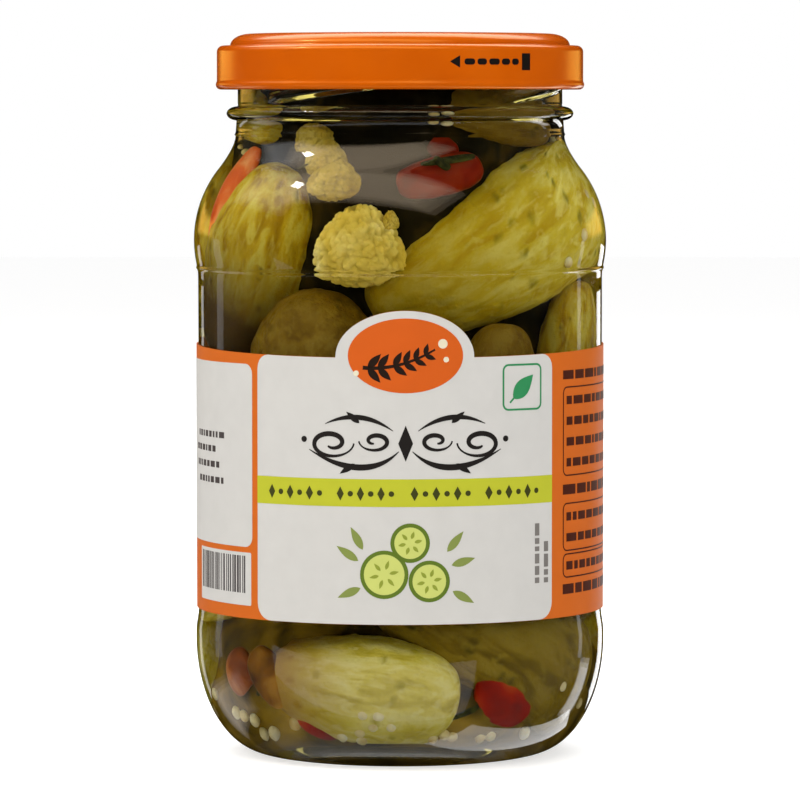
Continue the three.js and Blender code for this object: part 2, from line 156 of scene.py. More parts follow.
# What fills the jar
WALL_GAP = 0.45
CORE_OUTLINE = (
    (0, 6.3), (19, 5.5), (23, 5.8), (26.3, 7.3), (28.8, 9.8), (30, 12.5), (28, 18), (25, 26), (25, 98), (23, 108),
    (23, 119), (21, 122.5), (0, 122.5),
)
GHERKIN_TAPER = 0.1
GHERKIN_BLUNTNESS = -0.2


def rgb(red, green, blue):
    """Linear colour of an 8-bit sRGB one."""

    def linear(value):
        value /= 255
        return value / 12.92 if value <= 0.04045 else ((value + 0.055) / 1.055) ** 2.4

    return (linear(red), linear(green), linear(blue), 1.0)


# Camera, floor and light


def make_camera():
    data = bpy.data.cameras.new("camera")
    data.sensor_width = 36
    data.lens = CAMERA_LENS
    data.clip_start = 0.05
    camera = bpy.data.objects.new("camera", data)
    camera.location = (0, -CAMERA_DISTANCE * MM, CAMERA_HEIGHT * MM)
    camera.rotation_euler = (math.radians(90 - CAMERA_TILT), 0, 0)
    bpy.context.scene.collection.objects.link(camera)
    bpy.context.scene.camera = camera


def area_light(name, place, turn, size, radiance, colour, hidden):
    """A rectangular light at a place and rotation, lengths in metres. hidden names the rays that miss it."""
    width, height = size
    data = bpy.data.lights.new(name, "AREA")
    data.shape = "RECTANGLE"
    data.size = width
    data.size_y = height
    data.energy = 4 * width * height * radiance
    data.color = colour
    light = bpy.data.objects.new(name, data)
    light.location = place
    light.rotation_euler = turn
    light.visible_camera = False
    light.visible_diffuse = "diffuse" not in hidden
    light.visible_glossy = "glossy" not in hidden
    light.visible_transmission = "transmission" not in hidden
    bpy.context.scene.collection.objects.link(light)


def softbox(name, azimuth, elevation, distance, size, radiance, colour=(1, 1, 1), hidden=(), layers=1):
    """A rectangular light that faces the middle of the jar from a direction. With more layers, each one smaller,
    its reflection fades towards its edges."""
    turn, rise = math.radians(azimuth), math.radians(elevation)
    direction = Vector((math.sin(turn) * math.cos(rise), -math.cos(turn) * math.cos(rise), math.sin(rise)))
    for layer in range(layers):
        place = Vector((0, 0, 0.065)) + direction * (distance - LAYER_GAP * layer)
        part = [side * (1 - LAYER_SHRINK * layer) for side in size]
        facing = direction.to_track_quat("Z", "Y").to_euler()
        area_light(f"{name}_{layer + 1}", place, facing, part, radiance / layers, colour, hidden)


def make_lights():
    glint_only = ("diffuse", "transmission")
    softbox("light_overhead", -30, 58, 1.0, (1.9, 0.66), 1.9, colour=(1, 0.94, 0.85), hidden=("glossy",))
    softbox("light_veil", -30, 58, 0.95, (1.9, 0.66), 2.3, colour=(1, 0.8, 0.56), hidden=glint_only, layers=4)
    softbox("light_veil_left", -94, 38, 1.0, (0.8, 0.54), 1.1, hidden=glint_only, layers=4)
    softbox("light_top_back", 180, 58, 1.0, (1.4, 0.6), 2.6)
    softbox("light_right", 52, 20, 1.4, (0.7, 0.7), 1.0, hidden=("glossy",))
    softbox("light_edge_right", 155, -9, 0.9, (0.18, 0.26), 2.0)
    softbox("light_edge_left", -152, -9, 0.9, (0.1, 0.26), 0.7)
    softbox("light_side_right", 121, -5, 0.9, (0.06, 0.22), 0.9, hidden=glint_only)
    softbox("light_side_left", -122, -5, 0.9, (0.12, 0.22), 0.45, hidden=glint_only)
    softbox("light_lid_right", 140, 6, 0.9, (0.5, 0.12), 1.3, colour=(1, 0.58, 0.1), hidden=glint_only, layers=4)
    softbox("light_lid_left", -140, 6, 0.9, (0.5, 0.12), 1.3, colour=(1, 0.58, 0.1), hidden=glint_only, layers=4)
    softbox("light_lamp", -80, 47, 0.9, (0.09, 0.07), 22, hidden=("transmission",))
    softbox("light_heel_streak", 129, -22, 0.9, (0.2, 0.32), 1.9, hidden=glint_only, layers=3)
    softbox("light_heel_left", -125, -27, 0.9, (0.68, 0.3), 0.9, colour=(1, 0.9, 0.8), hidden=glint_only, layers=4)
    make_foot_lights(glint_only)


def make_foot_lights(hidden):
    """A low panel close in front, and a strip under the table's level that lies askew behind the jar's right."""
    front, front_size = (-0.17, -0.137, -0.06), (0.56, 0.12)
    area_light("light_heel_veil", front, (math.radians(90), 0, 0), front_size, 0.7, (0.95, 0.95, 1), hidden)
    strip, strip_size, strip_turn = (0.56, 0.4, -0.6), (1.38, 0.36), 64.9
    turn = (math.pi, 0, math.radians(strip_turn))
    area_light("light_heel_band", strip, turn, strip_size, 2.2, (1, 1, 1), hidden)


def make_world():
    world = bpy.data.worlds.new("studio")
    bpy.context.scene.world = world
    world.use_nodes = True
    nodes = world.node_tree.nodes
    links = world.node_tree.links
    nodes.clear()
    place = nodes.new("ShaderNodeTexCoord")
    parts = nodes.new("ShaderNodeSeparateXYZ")
    rise = nodes.new("ShaderNodeMapRange")
    rise.inputs["From Min"].default_value = -0.6
    rise.inputs["From Max"].default_value = 0.9
    rise.inputs["To Min"].default_value = 0.35
    rise.inputs["To Max"].default_value = 0.75
    path = nodes.new("ShaderNodeLightPath")
    seen = nodes.new("ShaderNodeMix")
    seen.inputs["B"].default_value = 1.0
    sky = nodes.new("ShaderNodeBackground")
    sky.inputs["Color"].default_value = (1, 1, 1, 1)
    output = nodes.new("ShaderNodeOutputWorld")
    links.new(place.outputs["Generated"], parts.inputs["Vector"])
    links.new(parts.outputs["Z"], rise.inputs["Value"])
    links.new(path.outputs["Is Camera Ray"], seen.inputs["Factor"])
    links.new(rise.outputs["Result"], seen.inputs["A"])
    links.new(seen.outputs["Result"], sky.inputs["Strength"])
    links.new(sky.outputs["Background"], output.inputs["Surface"])
    world.cycles_visibility.glossy = False


def make_floor():
    points = [(-3, -3, 0), (3, -3, 0), (3, 3, 0), (-3, 3, 0)]
    mesh = bpy.data.meshes.new("floor")
    mesh.from_pydata(points, [], [(0, 1, 2, 3)])
    floor = bpy.data.objects.new("floor", mesh)
    bpy.context.scene.collection.objects.link(floor)
    material, shader, nodes, links = new_material("floor_white")
    shader.inputs["Base Color"].default_value = (0.66, 0.66, 0.66, 1)
    shader.inputs["Roughness"].default_value = 0.9
    shader.inputs["Emission Color"].default_value = (1, 1, 1, 1)
    seen = nodes.new("ShaderNodeLightPath").outputs["Is Camera Ray"]
    links.new(spread(nodes, links, seen, 0, 1, 0.1, 0.55), shader.inputs["Emission Strength"])
    mesh.materials.append(material)
    floor.visible_glossy = False
    floor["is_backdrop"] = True


def set_up_render():
    scene = bpy.context.scene
    scene.view_settings.view_transform = "Standard"
    scene.cycles.use_denoising = True
    scene.cycles.max_bounces = 18
    scene.cycles.transmission_bounces = 18
    scene.cycles.diffuse_bounces = 3
    scene.cycles.glossy_bounces = 6
    scene.cycles.sample_clamp_indirect = 6


# Meshes


def new_piece(name, vertices, faces, material, node, smooth=True):
    """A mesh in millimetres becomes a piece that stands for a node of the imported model."""
    mesh = bpy.data.meshes.new(name)
    mesh.from_pydata((np.asarray(vertices) * MM).tolist(), [], [tuple(face) for face in faces])
    mesh.validate()
    mesh.polygons.foreach_set("use_smooth", [smooth] * len(mesh.polygons))
    mesh.materials.append(material)
    piece = bpy.data.objects.new(name, mesh)
    bpy.context.scene.collection.objects.link(piece)
    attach(piece, "root")
    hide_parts(node)
    return piece


def set_attribute(piece, name, kind, values):
    attribute = piece.data.attributes.new(name, kind, "POINT")
    key = "vector" if kind == "FLOAT_VECTOR" else "value"
    attribute.data.foreach_set(key, np.asarray(values, dtype=np.float32).ravel())


def joined(parts):
    """Several (vertices, faces) as one."""
    vertices, faces, start = [], [], 0
    for part_vertices, part_faces in parts:
        vertices.append(np.asarray(part_vertices, dtype=float))
        faces.extend([tuple(int(i) + start for i in face) for face in part_faces])
        start += len(part_vertices)
    return np.concatenate(vertices), faces


def round_place(angle, radius, height):
    turn = np.radians(angle)
    return np.stack(np.broadcast_arrays(radius * np.sin(turn), -radius * np.cos(turn), height), axis=-1)


def arc_points(centre, half_width, half_height, start, end, steps):
    angles = np.radians(np.linspace(start, end, steps + 1))
    return [(centre[0] + half_width * math.cos(a), centre[1] + half_height * math.sin(a)) for a in angles]


def curve_points(start, control, end, steps):
    points = []
    for t in np.linspace(0, 1, steps + 1):
        weights = ((1 - t) ** 2, 2 * t * (1 - t), t**2)
        points.append(tuple(sum(w * p[i] for w, p in zip(weights, (start, control, end))) for i in (0, 1)))
    return points


def finely(outline, step):
    """The outline with more points along its straight stretches."""
    points = [outline[0]]
    for before, after in zip(outline, outline[1:]):
        count = max(1, math.ceil(math.dist(before, after) / step))
        for i in range(1, count + 1):
            points.append(tuple(a + (b - a) * i / count for a, b in zip(before, after)))
    return points


def turned(outline, segments, relief=None):
    """Turns an outline that starts and ends on the axis, and goes up on the outside, into a closed body.

    relief(angle, radius, height, index) returns new radii for a ring of points.
    """
    angles = np.arange(segments) * 360 / segments
    rings = []
    for index, (radius, height) in enumerate(outline[1:-1]):
        radii = np.full(segments, float(radius))
        if relief:
            radii = relief(angles, radii, height, index + 1)
        rings.append(round_place(angles, radii, height))
    first = np.array([[0, 0, outline[0][1]]])
    last = np.array([[0, 0, outline[-1][1]]])
    vertices = np.concatenate([first, *rings, last])
    faces = []
    count = len(rings)
    for ring in range(count - 1):
        low, high = 1 + ring * segments, 1 + (ring + 1) * segments
        for i in range(segments):
            j = (i + 1) % segments
            faces.append((low + i, low + j, high + j, high + i))
    top, end = 1 + (count - 1) * segments, 1 + count * segments
    for i in range(segments):
        j = (i + 1) % segments
        faces.append((0, 1 + j, 1 + i))
        faces.append((top + i, top + j, end))
    return vertices, faces


def waves(points, length, seed, count=9):
    """A smooth seeded noise between about -1 and 1, as a sum of plane waves."""
    draw = np.random.default_rng(seed)
    total = np.zeros(len(points))
    for _ in range(count):
        direction = draw.normal(size=3)
        direction *= 2 * math.pi / (length * np.linalg.norm(direction) * draw.uniform(0.6, 1.7))
        total += np.sin(points @ direction + draw.uniform(0, 2 * math.pi))
    return total / math.sqrt(count)


def ball(columns, rows):
    """Directions on a unit sphere with its poles on Y, and its faces."""
    tilt = np.linspace(0, math.pi, rows + 1)[1:-1]
    turn = np.arange(columns) * 2 * math.pi / columns
    tilt_grid, turn_grid = np.meshgrid(tilt, turn, indexing="ij")
    ring = np.sin(tilt_grid)
    body = np.stack([ring * np.cos(turn_grid), -np.cos(tilt_grid), ring * np.sin(turn_grid)], axis=-1)
    vertices = np.concatenate([[[0, -1, 0]], body.reshape(-1, 3), [[0, 1, 0]]])
    faces = []
    for row in range(rows - 2):
        low, high = 1 + row * columns, 1 + (row + 1) * columns
        for i in range(columns):
            j = (i + 1) % columns
            faces.append((low + i, high + i, high + j, low + j))
    top, end = 1 + (rows - 2) * columns, 1 + (rows - 1) * columns
    for i in range(columns):
        j = (i + 1) % columns
        faces.append((0, 1 + i, 1 + j))
        faces.append((top + j, top + i, end))
    return vertices, faces


# Materials


def new_material(name):
    material = bpy.data.materials.new(name)
    material.use_nodes = True
    nodes = material.node_tree.nodes
    return material, nodes["Principled BSDF"], nodes, material.node_tree.links


def noise(nodes, links, scale, detail=3, vector=None, distortion=0.0):
    texture = nodes.new("ShaderNodeTexNoise")
    texture.inputs["Scale"].default_value = scale
    texture.inputs["Detail"].default_value = detail
    texture.inputs["Distortion"].default_value = distortion
    if vector:
        links.new(vector, texture.inputs["Vector"])
    return texture.outputs["Fac"]


def ramp(nodes, links, value, stops):
    node = nodes.new("ShaderNodeValToRGB")
    elements = node.color_ramp.elements
    while len(elements) < len(stops):
        elements.new(0.5)
    for element, (position, colour) in zip(elements, stops):
        element.position = position
        element.color = colour
    links.new(value, node.inputs["Fac"])
    return node.outputs["Color"]


def blend_colour(nodes, links, factor, first, second):
    """Mixes two colours, each a socket or a plain value, by a factor socket or number."""
    node = nodes.new("ShaderNodeMix")
    node.data_type = "RGBA"
    for socket, value in ((node.inputs[0], factor), (node.inputs[6], first), (node.inputs[7], second)):
        if isinstance(value, bpy.types.NodeSocket):
            links.new(value, socket)
        else:
            socket.default_value = value
    return node.outputs[2]


def spread(nodes, links, value, low, high, to_low=0.0, to_high=1.0):
    node = nodes.new("ShaderNodeMapRange")
    links.new(value, node.inputs["Value"])
    names = ("From Min", "From Max", "To Min", "To Max")
    for name, number in zip(names, (low, high, to_low, to_high)):
        node.inputs[name].default_value = number
    return node.outputs["Result"]


def bump(nodes, links, shader, height, strength, distance):
    node = nodes.new("ShaderNodeBump")
    node.inputs["Strength"].default_value = strength
    node.inputs["Distance"].default_value = distance
    links.new(height, node.inputs["Height"])
    links.new(node.outputs["Normal"], shader.inputs["Normal"])


def attribute(nodes, name, output):
    node = nodes.new("ShaderNodeAttribute")
    node.attribute_name = name
    return node.outputs[output]


def object_place(nodes):
    return nodes.new("ShaderNodeTexCoord").outputs["Object"]


def absorbing(material, colour, density):
    nodes, links = material.node_tree.nodes, material.node_tree.links
    volume = nodes.new("ShaderNodeVolumeAbsorption")
    volume.inputs["Color"].default_value = colour
    volume.inputs["Density"].default_value = density
    output = nodes["Material Output"]
    links.new(volume.outputs["Volume"], output.inputs["Volume"])


def clear_material(name, ior, glint):
    """Glass or liquid that lets lamps through to what is behind it. Where two of them touch, the glint of each is
    off, as there the real ones hardly reflect."""
    material, shader, nodes, links = new_material(name)
    shader.inputs["Base Color"].default_value = (1, 1, 1, 1)
    shader.inputs["Roughness"].default_value = 0.0
    shader.inputs["IOR"].default_value = ior
    shader.inputs["Transmission Weight"].default_value = 1.0
    shader.inputs["Specular Tint"].default_value = (glint, glint, glint, 1)
    lamp_ray = nodes.new("ShaderNodeLightPath").outputs["Is Shadow Ray"]
    open_way = nodes.new("ShaderNodeBsdfTransparent")
    open_way.inputs["Color"].default_value = (LAMP_SHARE, LAMP_SHARE, LAMP_SHARE, 1)
    either = nodes.new("ShaderNodeMixShader")
    links.new(lamp_ray, either.inputs["Fac"])
    links.new(shader.outputs["BSDF"], either.inputs[1])
    links.new(open_way.outputs["BSDF"], either.inputs[2])
    links.new(either.outputs["Shader"], nodes["Material Output"].inputs["Surface"])
    return material


def glass_material(wet):
    return clear_material("glass_wet" if wet else "glass_dry", 1.5, 0.0 if wet else 1.0)


def brine_material():
    material = clear_material("brine", 1.35, 0.0)
    absorbing(material, (0.93, 0.86, 0.2, 1), 45)
    return material


def lacquer_material():
    material, shader, nodes, links = new_material("cap_lacquer")
    place = object_place(nodes)
    patches = spread(nodes, links, noise(nodes, links, 90, 2, place), 0.3, 0.7)
    colour = blend_colour(nodes, links, patches, rgb(192, 82, 2), rgb(200, 88, 2))
    links.new(colour, shader.inputs["Base Color"])
    smears = noise(nodes, links, 140, 4, place)
    links.new(spread(nodes, links, smears, 0.3, 0.7, 0.16, 0.24), shader.inputs["Roughness"])
    shader.inputs["Specular IOR Level"].default_value = 1.0
    shader.inputs["Specular Tint"].default_value = (1, 0.62, 0.14, 1)
    bump(nodes, links, shader, noise(nodes, links, 1500, 2, place), 0.06, 0.0001)
    return material


def ink_material(name, colour, roughness=0.5):
    """Printed paper, with a faint mottle and a fibre relief."""
    material, shader, nodes, links = new_material(name)
    place = object_place(nodes)
    mottle = spread(nodes, links, noise(nodes, links, 260, 3, place), 0.3, 0.7)
    darker = tuple(channel * 0.96 for channel in colour[:3]) + (1.0,)
    links.new(blend_colour(nodes, links, mottle, darker, colour), shader.inputs["Base Color"])
    shader.inputs["Roughness"].default_value = roughness
    shader.inputs["Specular IOR Level"].default_value = 0.25
    bump(nodes, links, shader, noise(nodes, links, 1800, 3, place), 0.05, 0.0001)
    return material


def skin_material(name, pale, body, deep, dots, stain, streaks=0.5, gloss=0.4):
    """Pickled skin: soft streaks run from tip to tip under finer pale flecks, warts are tinted, and an end may be
    darkened and browned as painted shade."""
    material, shader, nodes, links = new_material(name)
    skin = attribute(nodes, "skin", "Vector")
    mapping = nodes.new("ShaderNodeMapping")
    mapping.inputs["Scale"].default_value = (1.0, 1.0, 0.34)
    links.new(skin, mapping.inputs["Vector"])
    along = noise(nodes, links, 0.34, 3, mapping.outputs["Vector"], 0.5)
    fleck_mapping = nodes.new("ShaderNodeMapping")
    fleck_mapping.inputs["Scale"].default_value = (1.0, 1.0, 0.55)
    links.new(skin, fleck_mapping.inputs["Vector"])
    flecks = noise(nodes, links, 0.62, 2, fleck_mapping.outputs["Vector"], 0.6)
    patches = noise(nodes, links, 0.13, 2, skin, 0.6)
    grain = noise(nodes, links, 2.2, 3, skin)
    base = ramp(nodes, links, along, [(0.36, deep), (0.5, body), (0.66, pale)])
    patched = blend_colour(nodes, links, spread(nodes, links, patches, 0.38, 0.62, 0.0, 1 - streaks), base, body)
    flecked = blend_colour(nodes, links, spread(nodes, links, flecks, 0.5, 0.66, 0.0, 0.6), patched, pale)
    speckled = blend_colour(nodes, links, spread(nodes, links, grain, 0.56, 0.74, 0.0, 0.3), flecked, deep)
    tinted = blend_colour(nodes, links, attribute(nodes, "wart", "Fac"), speckled, dots)
    # Painted shade: one end of the skin blends towards a darker brown, the colour given for that end
    stained = blend_colour(nodes, links, attribute(nodes, "stain", "Fac"), tinted, stain)
    links.new(stained, shader.inputs["Base Color"])
    shader.inputs["Roughness"].default_value = gloss
    shader.inputs["Specular IOR Level"].default_value = WET_GLINT
    shader.inputs["Subsurface Weight"].default_value = 0.12
    shader.inputs["Subsurface Radius"].default_value = (1.0, 0.8, 0.3)
    shader.inputs["Subsurface Scale"].default_value = 0.002
    bump(nodes, links, shader, noise(nodes, links, 1.1, 4, skin), 0.8, 0.0005)
    return material


def floret_material(name, deep, body, pale, crease):
    material, shader, nodes, links = new_material(name)
    place = object_place(nodes)
    patches = noise(nodes, links, 120, 3, place, 0.5)
    grain = noise(nodes, links, 900, 3, place)
    base = ramp(nodes, links, patches, [(0.35, deep), (0.52, body), (0.66, pale)])
    # Painted shade: the creases between the knobs are darkened towards the crease colour
    dark = spread(nodes, links, attribute(nodes, "crease", "Fac"), 0.0, 1.0, 0.0, 0.65)
    creased = blend_colour(nodes, links, dark, base, crease)
    links.new(creased, shader.inputs["Base Color"])
    shader.inputs["Roughness"].default_value = 0.6
    shader.inputs["Specular IOR Level"].default_value = WET_GLINT
    shader.inputs["Subsurface Weight"].default_value = 0.2
    shader.inputs["Subsurface Radius"].default_value = (1.0, 0.8, 0.4)
    shader.inputs["Subsurface Scale"].default_value = 0.002
    bump(nodes, links, shader, grain, 0.4, 0.0003)
    return material


def pepper_material(name, deep, body, pale):
    material, shader, nodes, links = new_material(name)
    place = object_place(nodes)
    patches = noise(nodes, links, 150, 3, place, 0.5)
    stops = [(0.3, deep), (0.5, body), (0.72, pale)]
    links.new(ramp(nodes, links, patches, stops), shader.inputs["Base Color"])
    shader.inputs["Roughness"].default_value = 0.3
    shader.inputs["Specular IOR Level"].default_value = WET_GLINT
    shader.inputs["Subsurface Weight"].default_value = 0.15
    shader.inputs["Subsurface Radius"].default_value = (1.0, 0.3, 0.1)
    shader.inputs["Subsurface Scale"].default_value = 0.002
    bump(nodes, links, shader, noise(nodes, links, 500, 3, place), 0.2, 0.0003)
    return material


def seed_material():
    material, shader, nodes, links = new_material("mustard_seed")
    place = object_place(nodes)
    stops = [(0.3, rgb(222, 192, 112)), (0.5, rgb(250, 238, 180)), (0.7, rgb(255, 252, 222))]
    links.new(ramp(nodes, links, noise(nodes, links, 260, 2, place), stops), shader.inputs["Base Color"])
    shader.inputs["Roughness"].default_value = 0.4
    shader.inputs["Specular IOR Level"].default_value = WET_GLINT
    bump(nodes, links, shader, noise(nodes, links, 2500, 2, place), 0.2, 0.0002)
    return material


def herb_material():
    material, shader, nodes, links = new_material("herb")
    place = object_place(nodes)
    stops = [(0.35, rgb(30, 34, 12)), (0.65, rgb(70, 72, 26))]
    links.new(ramp(nodes, links, noise(nodes, links, 700, 3, place), stops), shader.inputs["Base Color"])
    shader.inputs["Roughness"].default_value = 0.5
    shader.inputs["Specular IOR Level"].default_value = WET_GLINT
    bump(nodes, links, shader, noise(nodes, links, 1800, 3, place), 0.3, 0.0003)
    return material


def core_material():
    material, shader, nodes, links = new_material("heap_core")
    place = object_place(nodes)
    patches = noise(nodes, links, 90, 4, place, 0.6)
    # Painted shade: the core is nearly black above, standing for the shade in the gaps between the pieces, and a
    # lighter olive below
    upper = ramp(nodes, links, patches, [(0.35, rgb(10, 7, 1)), (0.55, rgb(28, 21, 3)), (0.75, rgb(72, 56, 10))])
    lower = ramp(nodes, links, patches, [(0.35, rgb(62, 50, 8)), (0.52, rgb(132, 106, 22)), (0.7, rgb(186, 152, 50))])
    height = nodes.new("ShaderNodeSeparateXYZ")
    links.new(place, height.inputs["Vector"])
    share = spread(nodes, links, height.outputs["Z"], 0.035, 0.06)
    links.new(blend_colour(nodes, links, share, lower, upper), shader.inputs["Base Color"])
    shader.inputs["Roughness"].default_value = 0.6
    shader.inputs["Specular IOR Level"].default_value = WET_GLINT
    bump(nodes, links, shader, noise(nodes, links, 400, 3, place), 0.3, 0.0004)
    return material


# The glass jar and the brine in it


def jar_outside():
    shoulder_end = math.degrees(math.asin((SHOULDER_ARC_TOP - SHOULDER_HEIGHT) / SHOULDER_ARC))
    shoulder_centre = (SHOULDER_RADIUS - SHOULDER_ARC, SHOULDER_HEIGHT)
    shoulder = arc_points(shoulder_centre, SHOULDER_ARC, SHOULDER_ARC, 0, shoulder_end, 24)
    heel_width = FOOT_BULGE_RADIUS - FOOT_RING_OUTER
    neck = curve_points(shoulder[-1], (NECK_RADIUS, 110.9), (NECK_RADIUS, NECK_START), 12)
    ring = [(NECK_RADIUS, NECK_START - 0.3), (NECK_RADIUS + 0.22, NECK_START), (NECK_RADIUS, NECK_START + 0.4)]
    bead = arc_points((FINISH_RADIUS, BEAD_HEIGHT), BEAD_RADIUS - FINISH_RADIUS, 1.3, -82, 86, 20)
    rim = arc_points((FINISH_RADIUS - 1.1, RIM_HEIGHT - 1.1), 1.1, 1.1, 0, 90, 6)
    return [
        (0, PUNT_DEPTH),
        *curve_points((FOOT_RING_INNER - 5, PUNT_DEPTH), (FOOT_RING_INNER - 1, PUNT_DEPTH), (FOOT_RING_INNER, 0.3), 8),
        (FOOT_RING_INNER + 0.5, 0),
        *arc_points((FOOT_RING_OUTER, HEEL_HEIGHT), heel_width, HEEL_HEIGHT, -90, 0, 36),
        *foot_step(),
        *finely([(PANEL_RADIUS, PANEL_BOTTOM + 1), (PANEL_RADIUS, STEP_START)], 2),
        *shoulder_step(),
        *shoulder[1:],
        *neck[1:-1],
        *ring,
        *bead,
        *finely([(FINISH_RADIUS, BEAD_HEIGHT + 1.5), (FINISH_RADIUS, RIM_HEIGHT - 1.2)], 0.3),
        *rim,
        (MOUTH_RADIUS + 0.6, RIM_HEIGHT),
        (MOUTH_RADIUS, RIM_HEIGHT - 0.8),
    ]


def foot_step():
    """The foot bulge eases into the panel that the label sits on."""
    points = []
    for t in np.linspace(0.1, 1, 14):
        height = HEEL_HEIGHT + 1 + (PANEL_BOTTOM - HEEL_HEIGHT - 0.5) * t
        eased = (1 + math.cos(math.pi * t)) / 2
        points.append((PANEL_RADIUS + (FOOT_BULGE_RADIUS - PANEL_RADIUS) * eased, height))
    return points


def shoulder_step():
    """The panel eases into the shoulder arc, with a faint raised line where they meet."""
    points = []
    for height in np.linspace(STEP_START + 0.3, SHOULDER_HEIGHT, 64):
        arc = SHOULDER_RADIUS - SHOULDER_ARC + math.sqrt(SHOULDER_ARC**2 - (SHOULDER_HEIGHT - height) ** 2)
        eased = PANEL_RADIUS + STEP_SOFTNESS * math.log1p(math.exp((arc - PANEL_RADIUS) / STEP_SOFTNESS))
        from_line = height - PANEL_TOP - STEP_LINE_RISE
        line = STEP_LINE * math.exp(-((from_line / STEP_LINE_HALF_WIDTH) ** 2))
        points.append((min(eased, SHOULDER_RADIUS) + line, height))
    return points


def jar_inside():
    shoulder_end = math.degrees(math.asin((SHOULDER_ARC_TOP - SHOULDER_HEIGHT) / INSIDE_SHOULDER_ARC))
    shoulder_centre = (INSIDE_SHOULDER_RADIUS - INSIDE_SHOULDER_ARC, SHOULDER_HEIGHT)
    shoulder = arc_points(shoulder_centre, INSIDE_SHOULDER_ARC, INSIDE_SHOULDER_ARC, 0, shoulder_end, 16)
    heel = (INSIDE_RADIUS - INSIDE_HEEL_START, INSIDE_HEEL_HEIGHT - INSIDE_FLOOR)
    neck_end = (INSIDE_NECK_RADIUS, NECK_START + 1)
    return [
        (0, INSIDE_FLOOR + 1),
        *arc_points((INSIDE_HEEL_START, INSIDE_HEEL_HEIGHT), *heel, -90, 0, 24),
        *finely([(INSIDE_RADIUS, INSIDE_HEEL_HEIGHT + 2), (INSIDE_RADIUS, PANEL_TOP - 4)], 3),
        *shoulder,
        *curve_points(shoulder[-1], (INSIDE_NECK_RADIUS, 110.2), neck_end, 10)[1:],
    ]


inside_radii = np.array([point[0] for point in jar_inside()[1:]])
inside_heights = np.array([point[1] for point in jar_inside()[1:]])


def ramp_relief(angles, height):
    """How far the thread ramps stand out from the finish at a height."""
    stands_out = np.zeros(len(angles))
    for i in range(RAMP_COUNT):
        along = ((angles - RAMP_FIRST_ANGLE - 360 / RAMP_COUNT * i) % 360) / RAMP_SPAN
        middle = RAMP_START_HEIGHT + RAMP_RISE * along
        across = np.clip(1 - ((height - middle) / RAMP_SECTION_RADIUS) ** 2, 0, 1)
        ends = np.clip(8 * np.minimum(along, 1 - along), 0, 1)
        stands_out = np.maximum(stands_out, RAMP_STANDS_OUT * np.sqrt(across) * ends)
    return stands_out


def make_jar():
    outside = jar_outside()
    inside = jar_inside()
    outline = outside + inside[::-1]

    def relief(angles, radii, height, index):
        points = round_place(angles, radii, height)
        if index >= len(outside):
            return radii + 0.09 * waves(points, 34, 3)
        if height > BEAD_HEIGHT + 1.5 and height < RIM_HEIGHT - 1:
            return radii + ramp_relief(angles, height)
        fade = min(1, abs(height - SHOULDER_HEIGHT) / 4)
        return radii - 0.035 * fade * (1 + waves(points, 45, 4))

    vertices, faces = turned(outline, 240, relief)
    jar = new_piece("jar_glass", vertices, faces, glass_material(False), "jar")
    jar.data.materials.append(glass_material(True))
    for polygon in jar.data.polygons:
        x, y, height = polygon.center / MM
        inner = math.hypot(x, y) < np.interp(height, inside_heights, inside_radii) + 0.7
        above_floor = height > INSIDE_FLOOR - 0.3
        polygon.material_index = int(inner and above_floor and height < BRINE_TOP)
    return jar


def make_brine():
    outline = [(0, INSIDE_FLOOR + 1 - BRINE_REACH)]
    inside = jar_inside()
    for (r0, z0), (r1, z1) in zip(inside[1:], inside[2:]):
        length = math.dist((r0, z0), (r1, z1))
        outline.append((r0 + BRINE_REACH * (z1 - z0) / length, z0 - BRINE_REACH * (r1 - r0) / length))
    outline.extend(finely([(INSIDE_NECK_RADIUS + BRINE_REACH, NECK_START + 1.5),
                           (INSIDE_NECK_RADIUS + BRINE_REACH, BRINE_TOP)], 2))
    outline.append((0, BRINE_TOP))
    vertices, faces = turned(outline, 160)
    return new_piece("brine_fill", vertices, faces, brine_material(), "pickle_heap")


# The cap


def cap_outline():
    sheet = CAP_SHEET
    curl_middle = (CAP_RADIUS + 0.2 - CAP_CURL_RADIUS, CAP_BOTTOM + CAP_CURL_RADIUS)
    corner_middle = (CAP_RADIUS - CAP_CORNER_RADIUS, CAP_CORNER_TOP - CAP_CORNER_RADIUS)
    ring_middle = (CAP_RING_MIDDLE, CAP_CORNER_TOP)
    ring_rise = CAP_TOP - CAP_CORNER_TOP
    ring_width = CAP_RING_OUTER - CAP_RING_MIDDLE
    inner_corner = CAP_CORNER_RADIUS - sheet
    under = [
        (0, CAP_PANEL - sheet),
        (21.4, CAP_PANEL - sheet),
        (CAP_RING_INNER + 0.4, CAP_GROOVE - sheet),
        *arc_points(ring_middle, ring_width - sheet, ring_rise - sheet, 125, 0, 12),
        (CAP_RING_OUTER, CAP_CORNER_TOP - sheet),
        *arc_points(corner_middle, inner_corner, inner_corner, 90, 0, 5),
        (CAP_RADIUS - sheet, CAP_BOTTOM + 2.2),
    ]
    curl = arc_points(curl_middle, CAP_CURL_RADIUS, CAP_CURL_RADIUS, -220, 38, 16)
    over = [
        (CAP_RADIUS, CAP_BOTTOM + 1.9),
        *arc_points(corner_middle, CAP_CORNER_RADIUS, CAP_CORNER_RADIUS, 0, 90, 10),
        *arc_points(ring_middle, ring_width, ring_rise, 0, 125, 18),
        (CAP_RING_INNER, CAP_GROOVE),
        (23, CAP_GROOVE),
        *curve_points((22.6, CAP_GROOVE), (22.3, CAP_PANEL), (21.6, CAP_PANEL), 5),
        *curve_points(
            (CAP_BUTTON_RADIUS + 1.5, CAP_PANEL),
            (CAP_BUTTON_RADIUS + 0.6, CAP_PANEL),
            (CAP_BUTTON_RADIUS, CAP_PANEL + CAP_BUTTON_RISE * 0.8),
            5,
        ),
        (CAP_BUTTON_RADIUS - 0.8, CAP_PANEL + CAP_BUTTON_RISE),
        (0, CAP_PANEL + CAP_BUTTON_RISE),
    ]
    return [*under, *curl, *over]


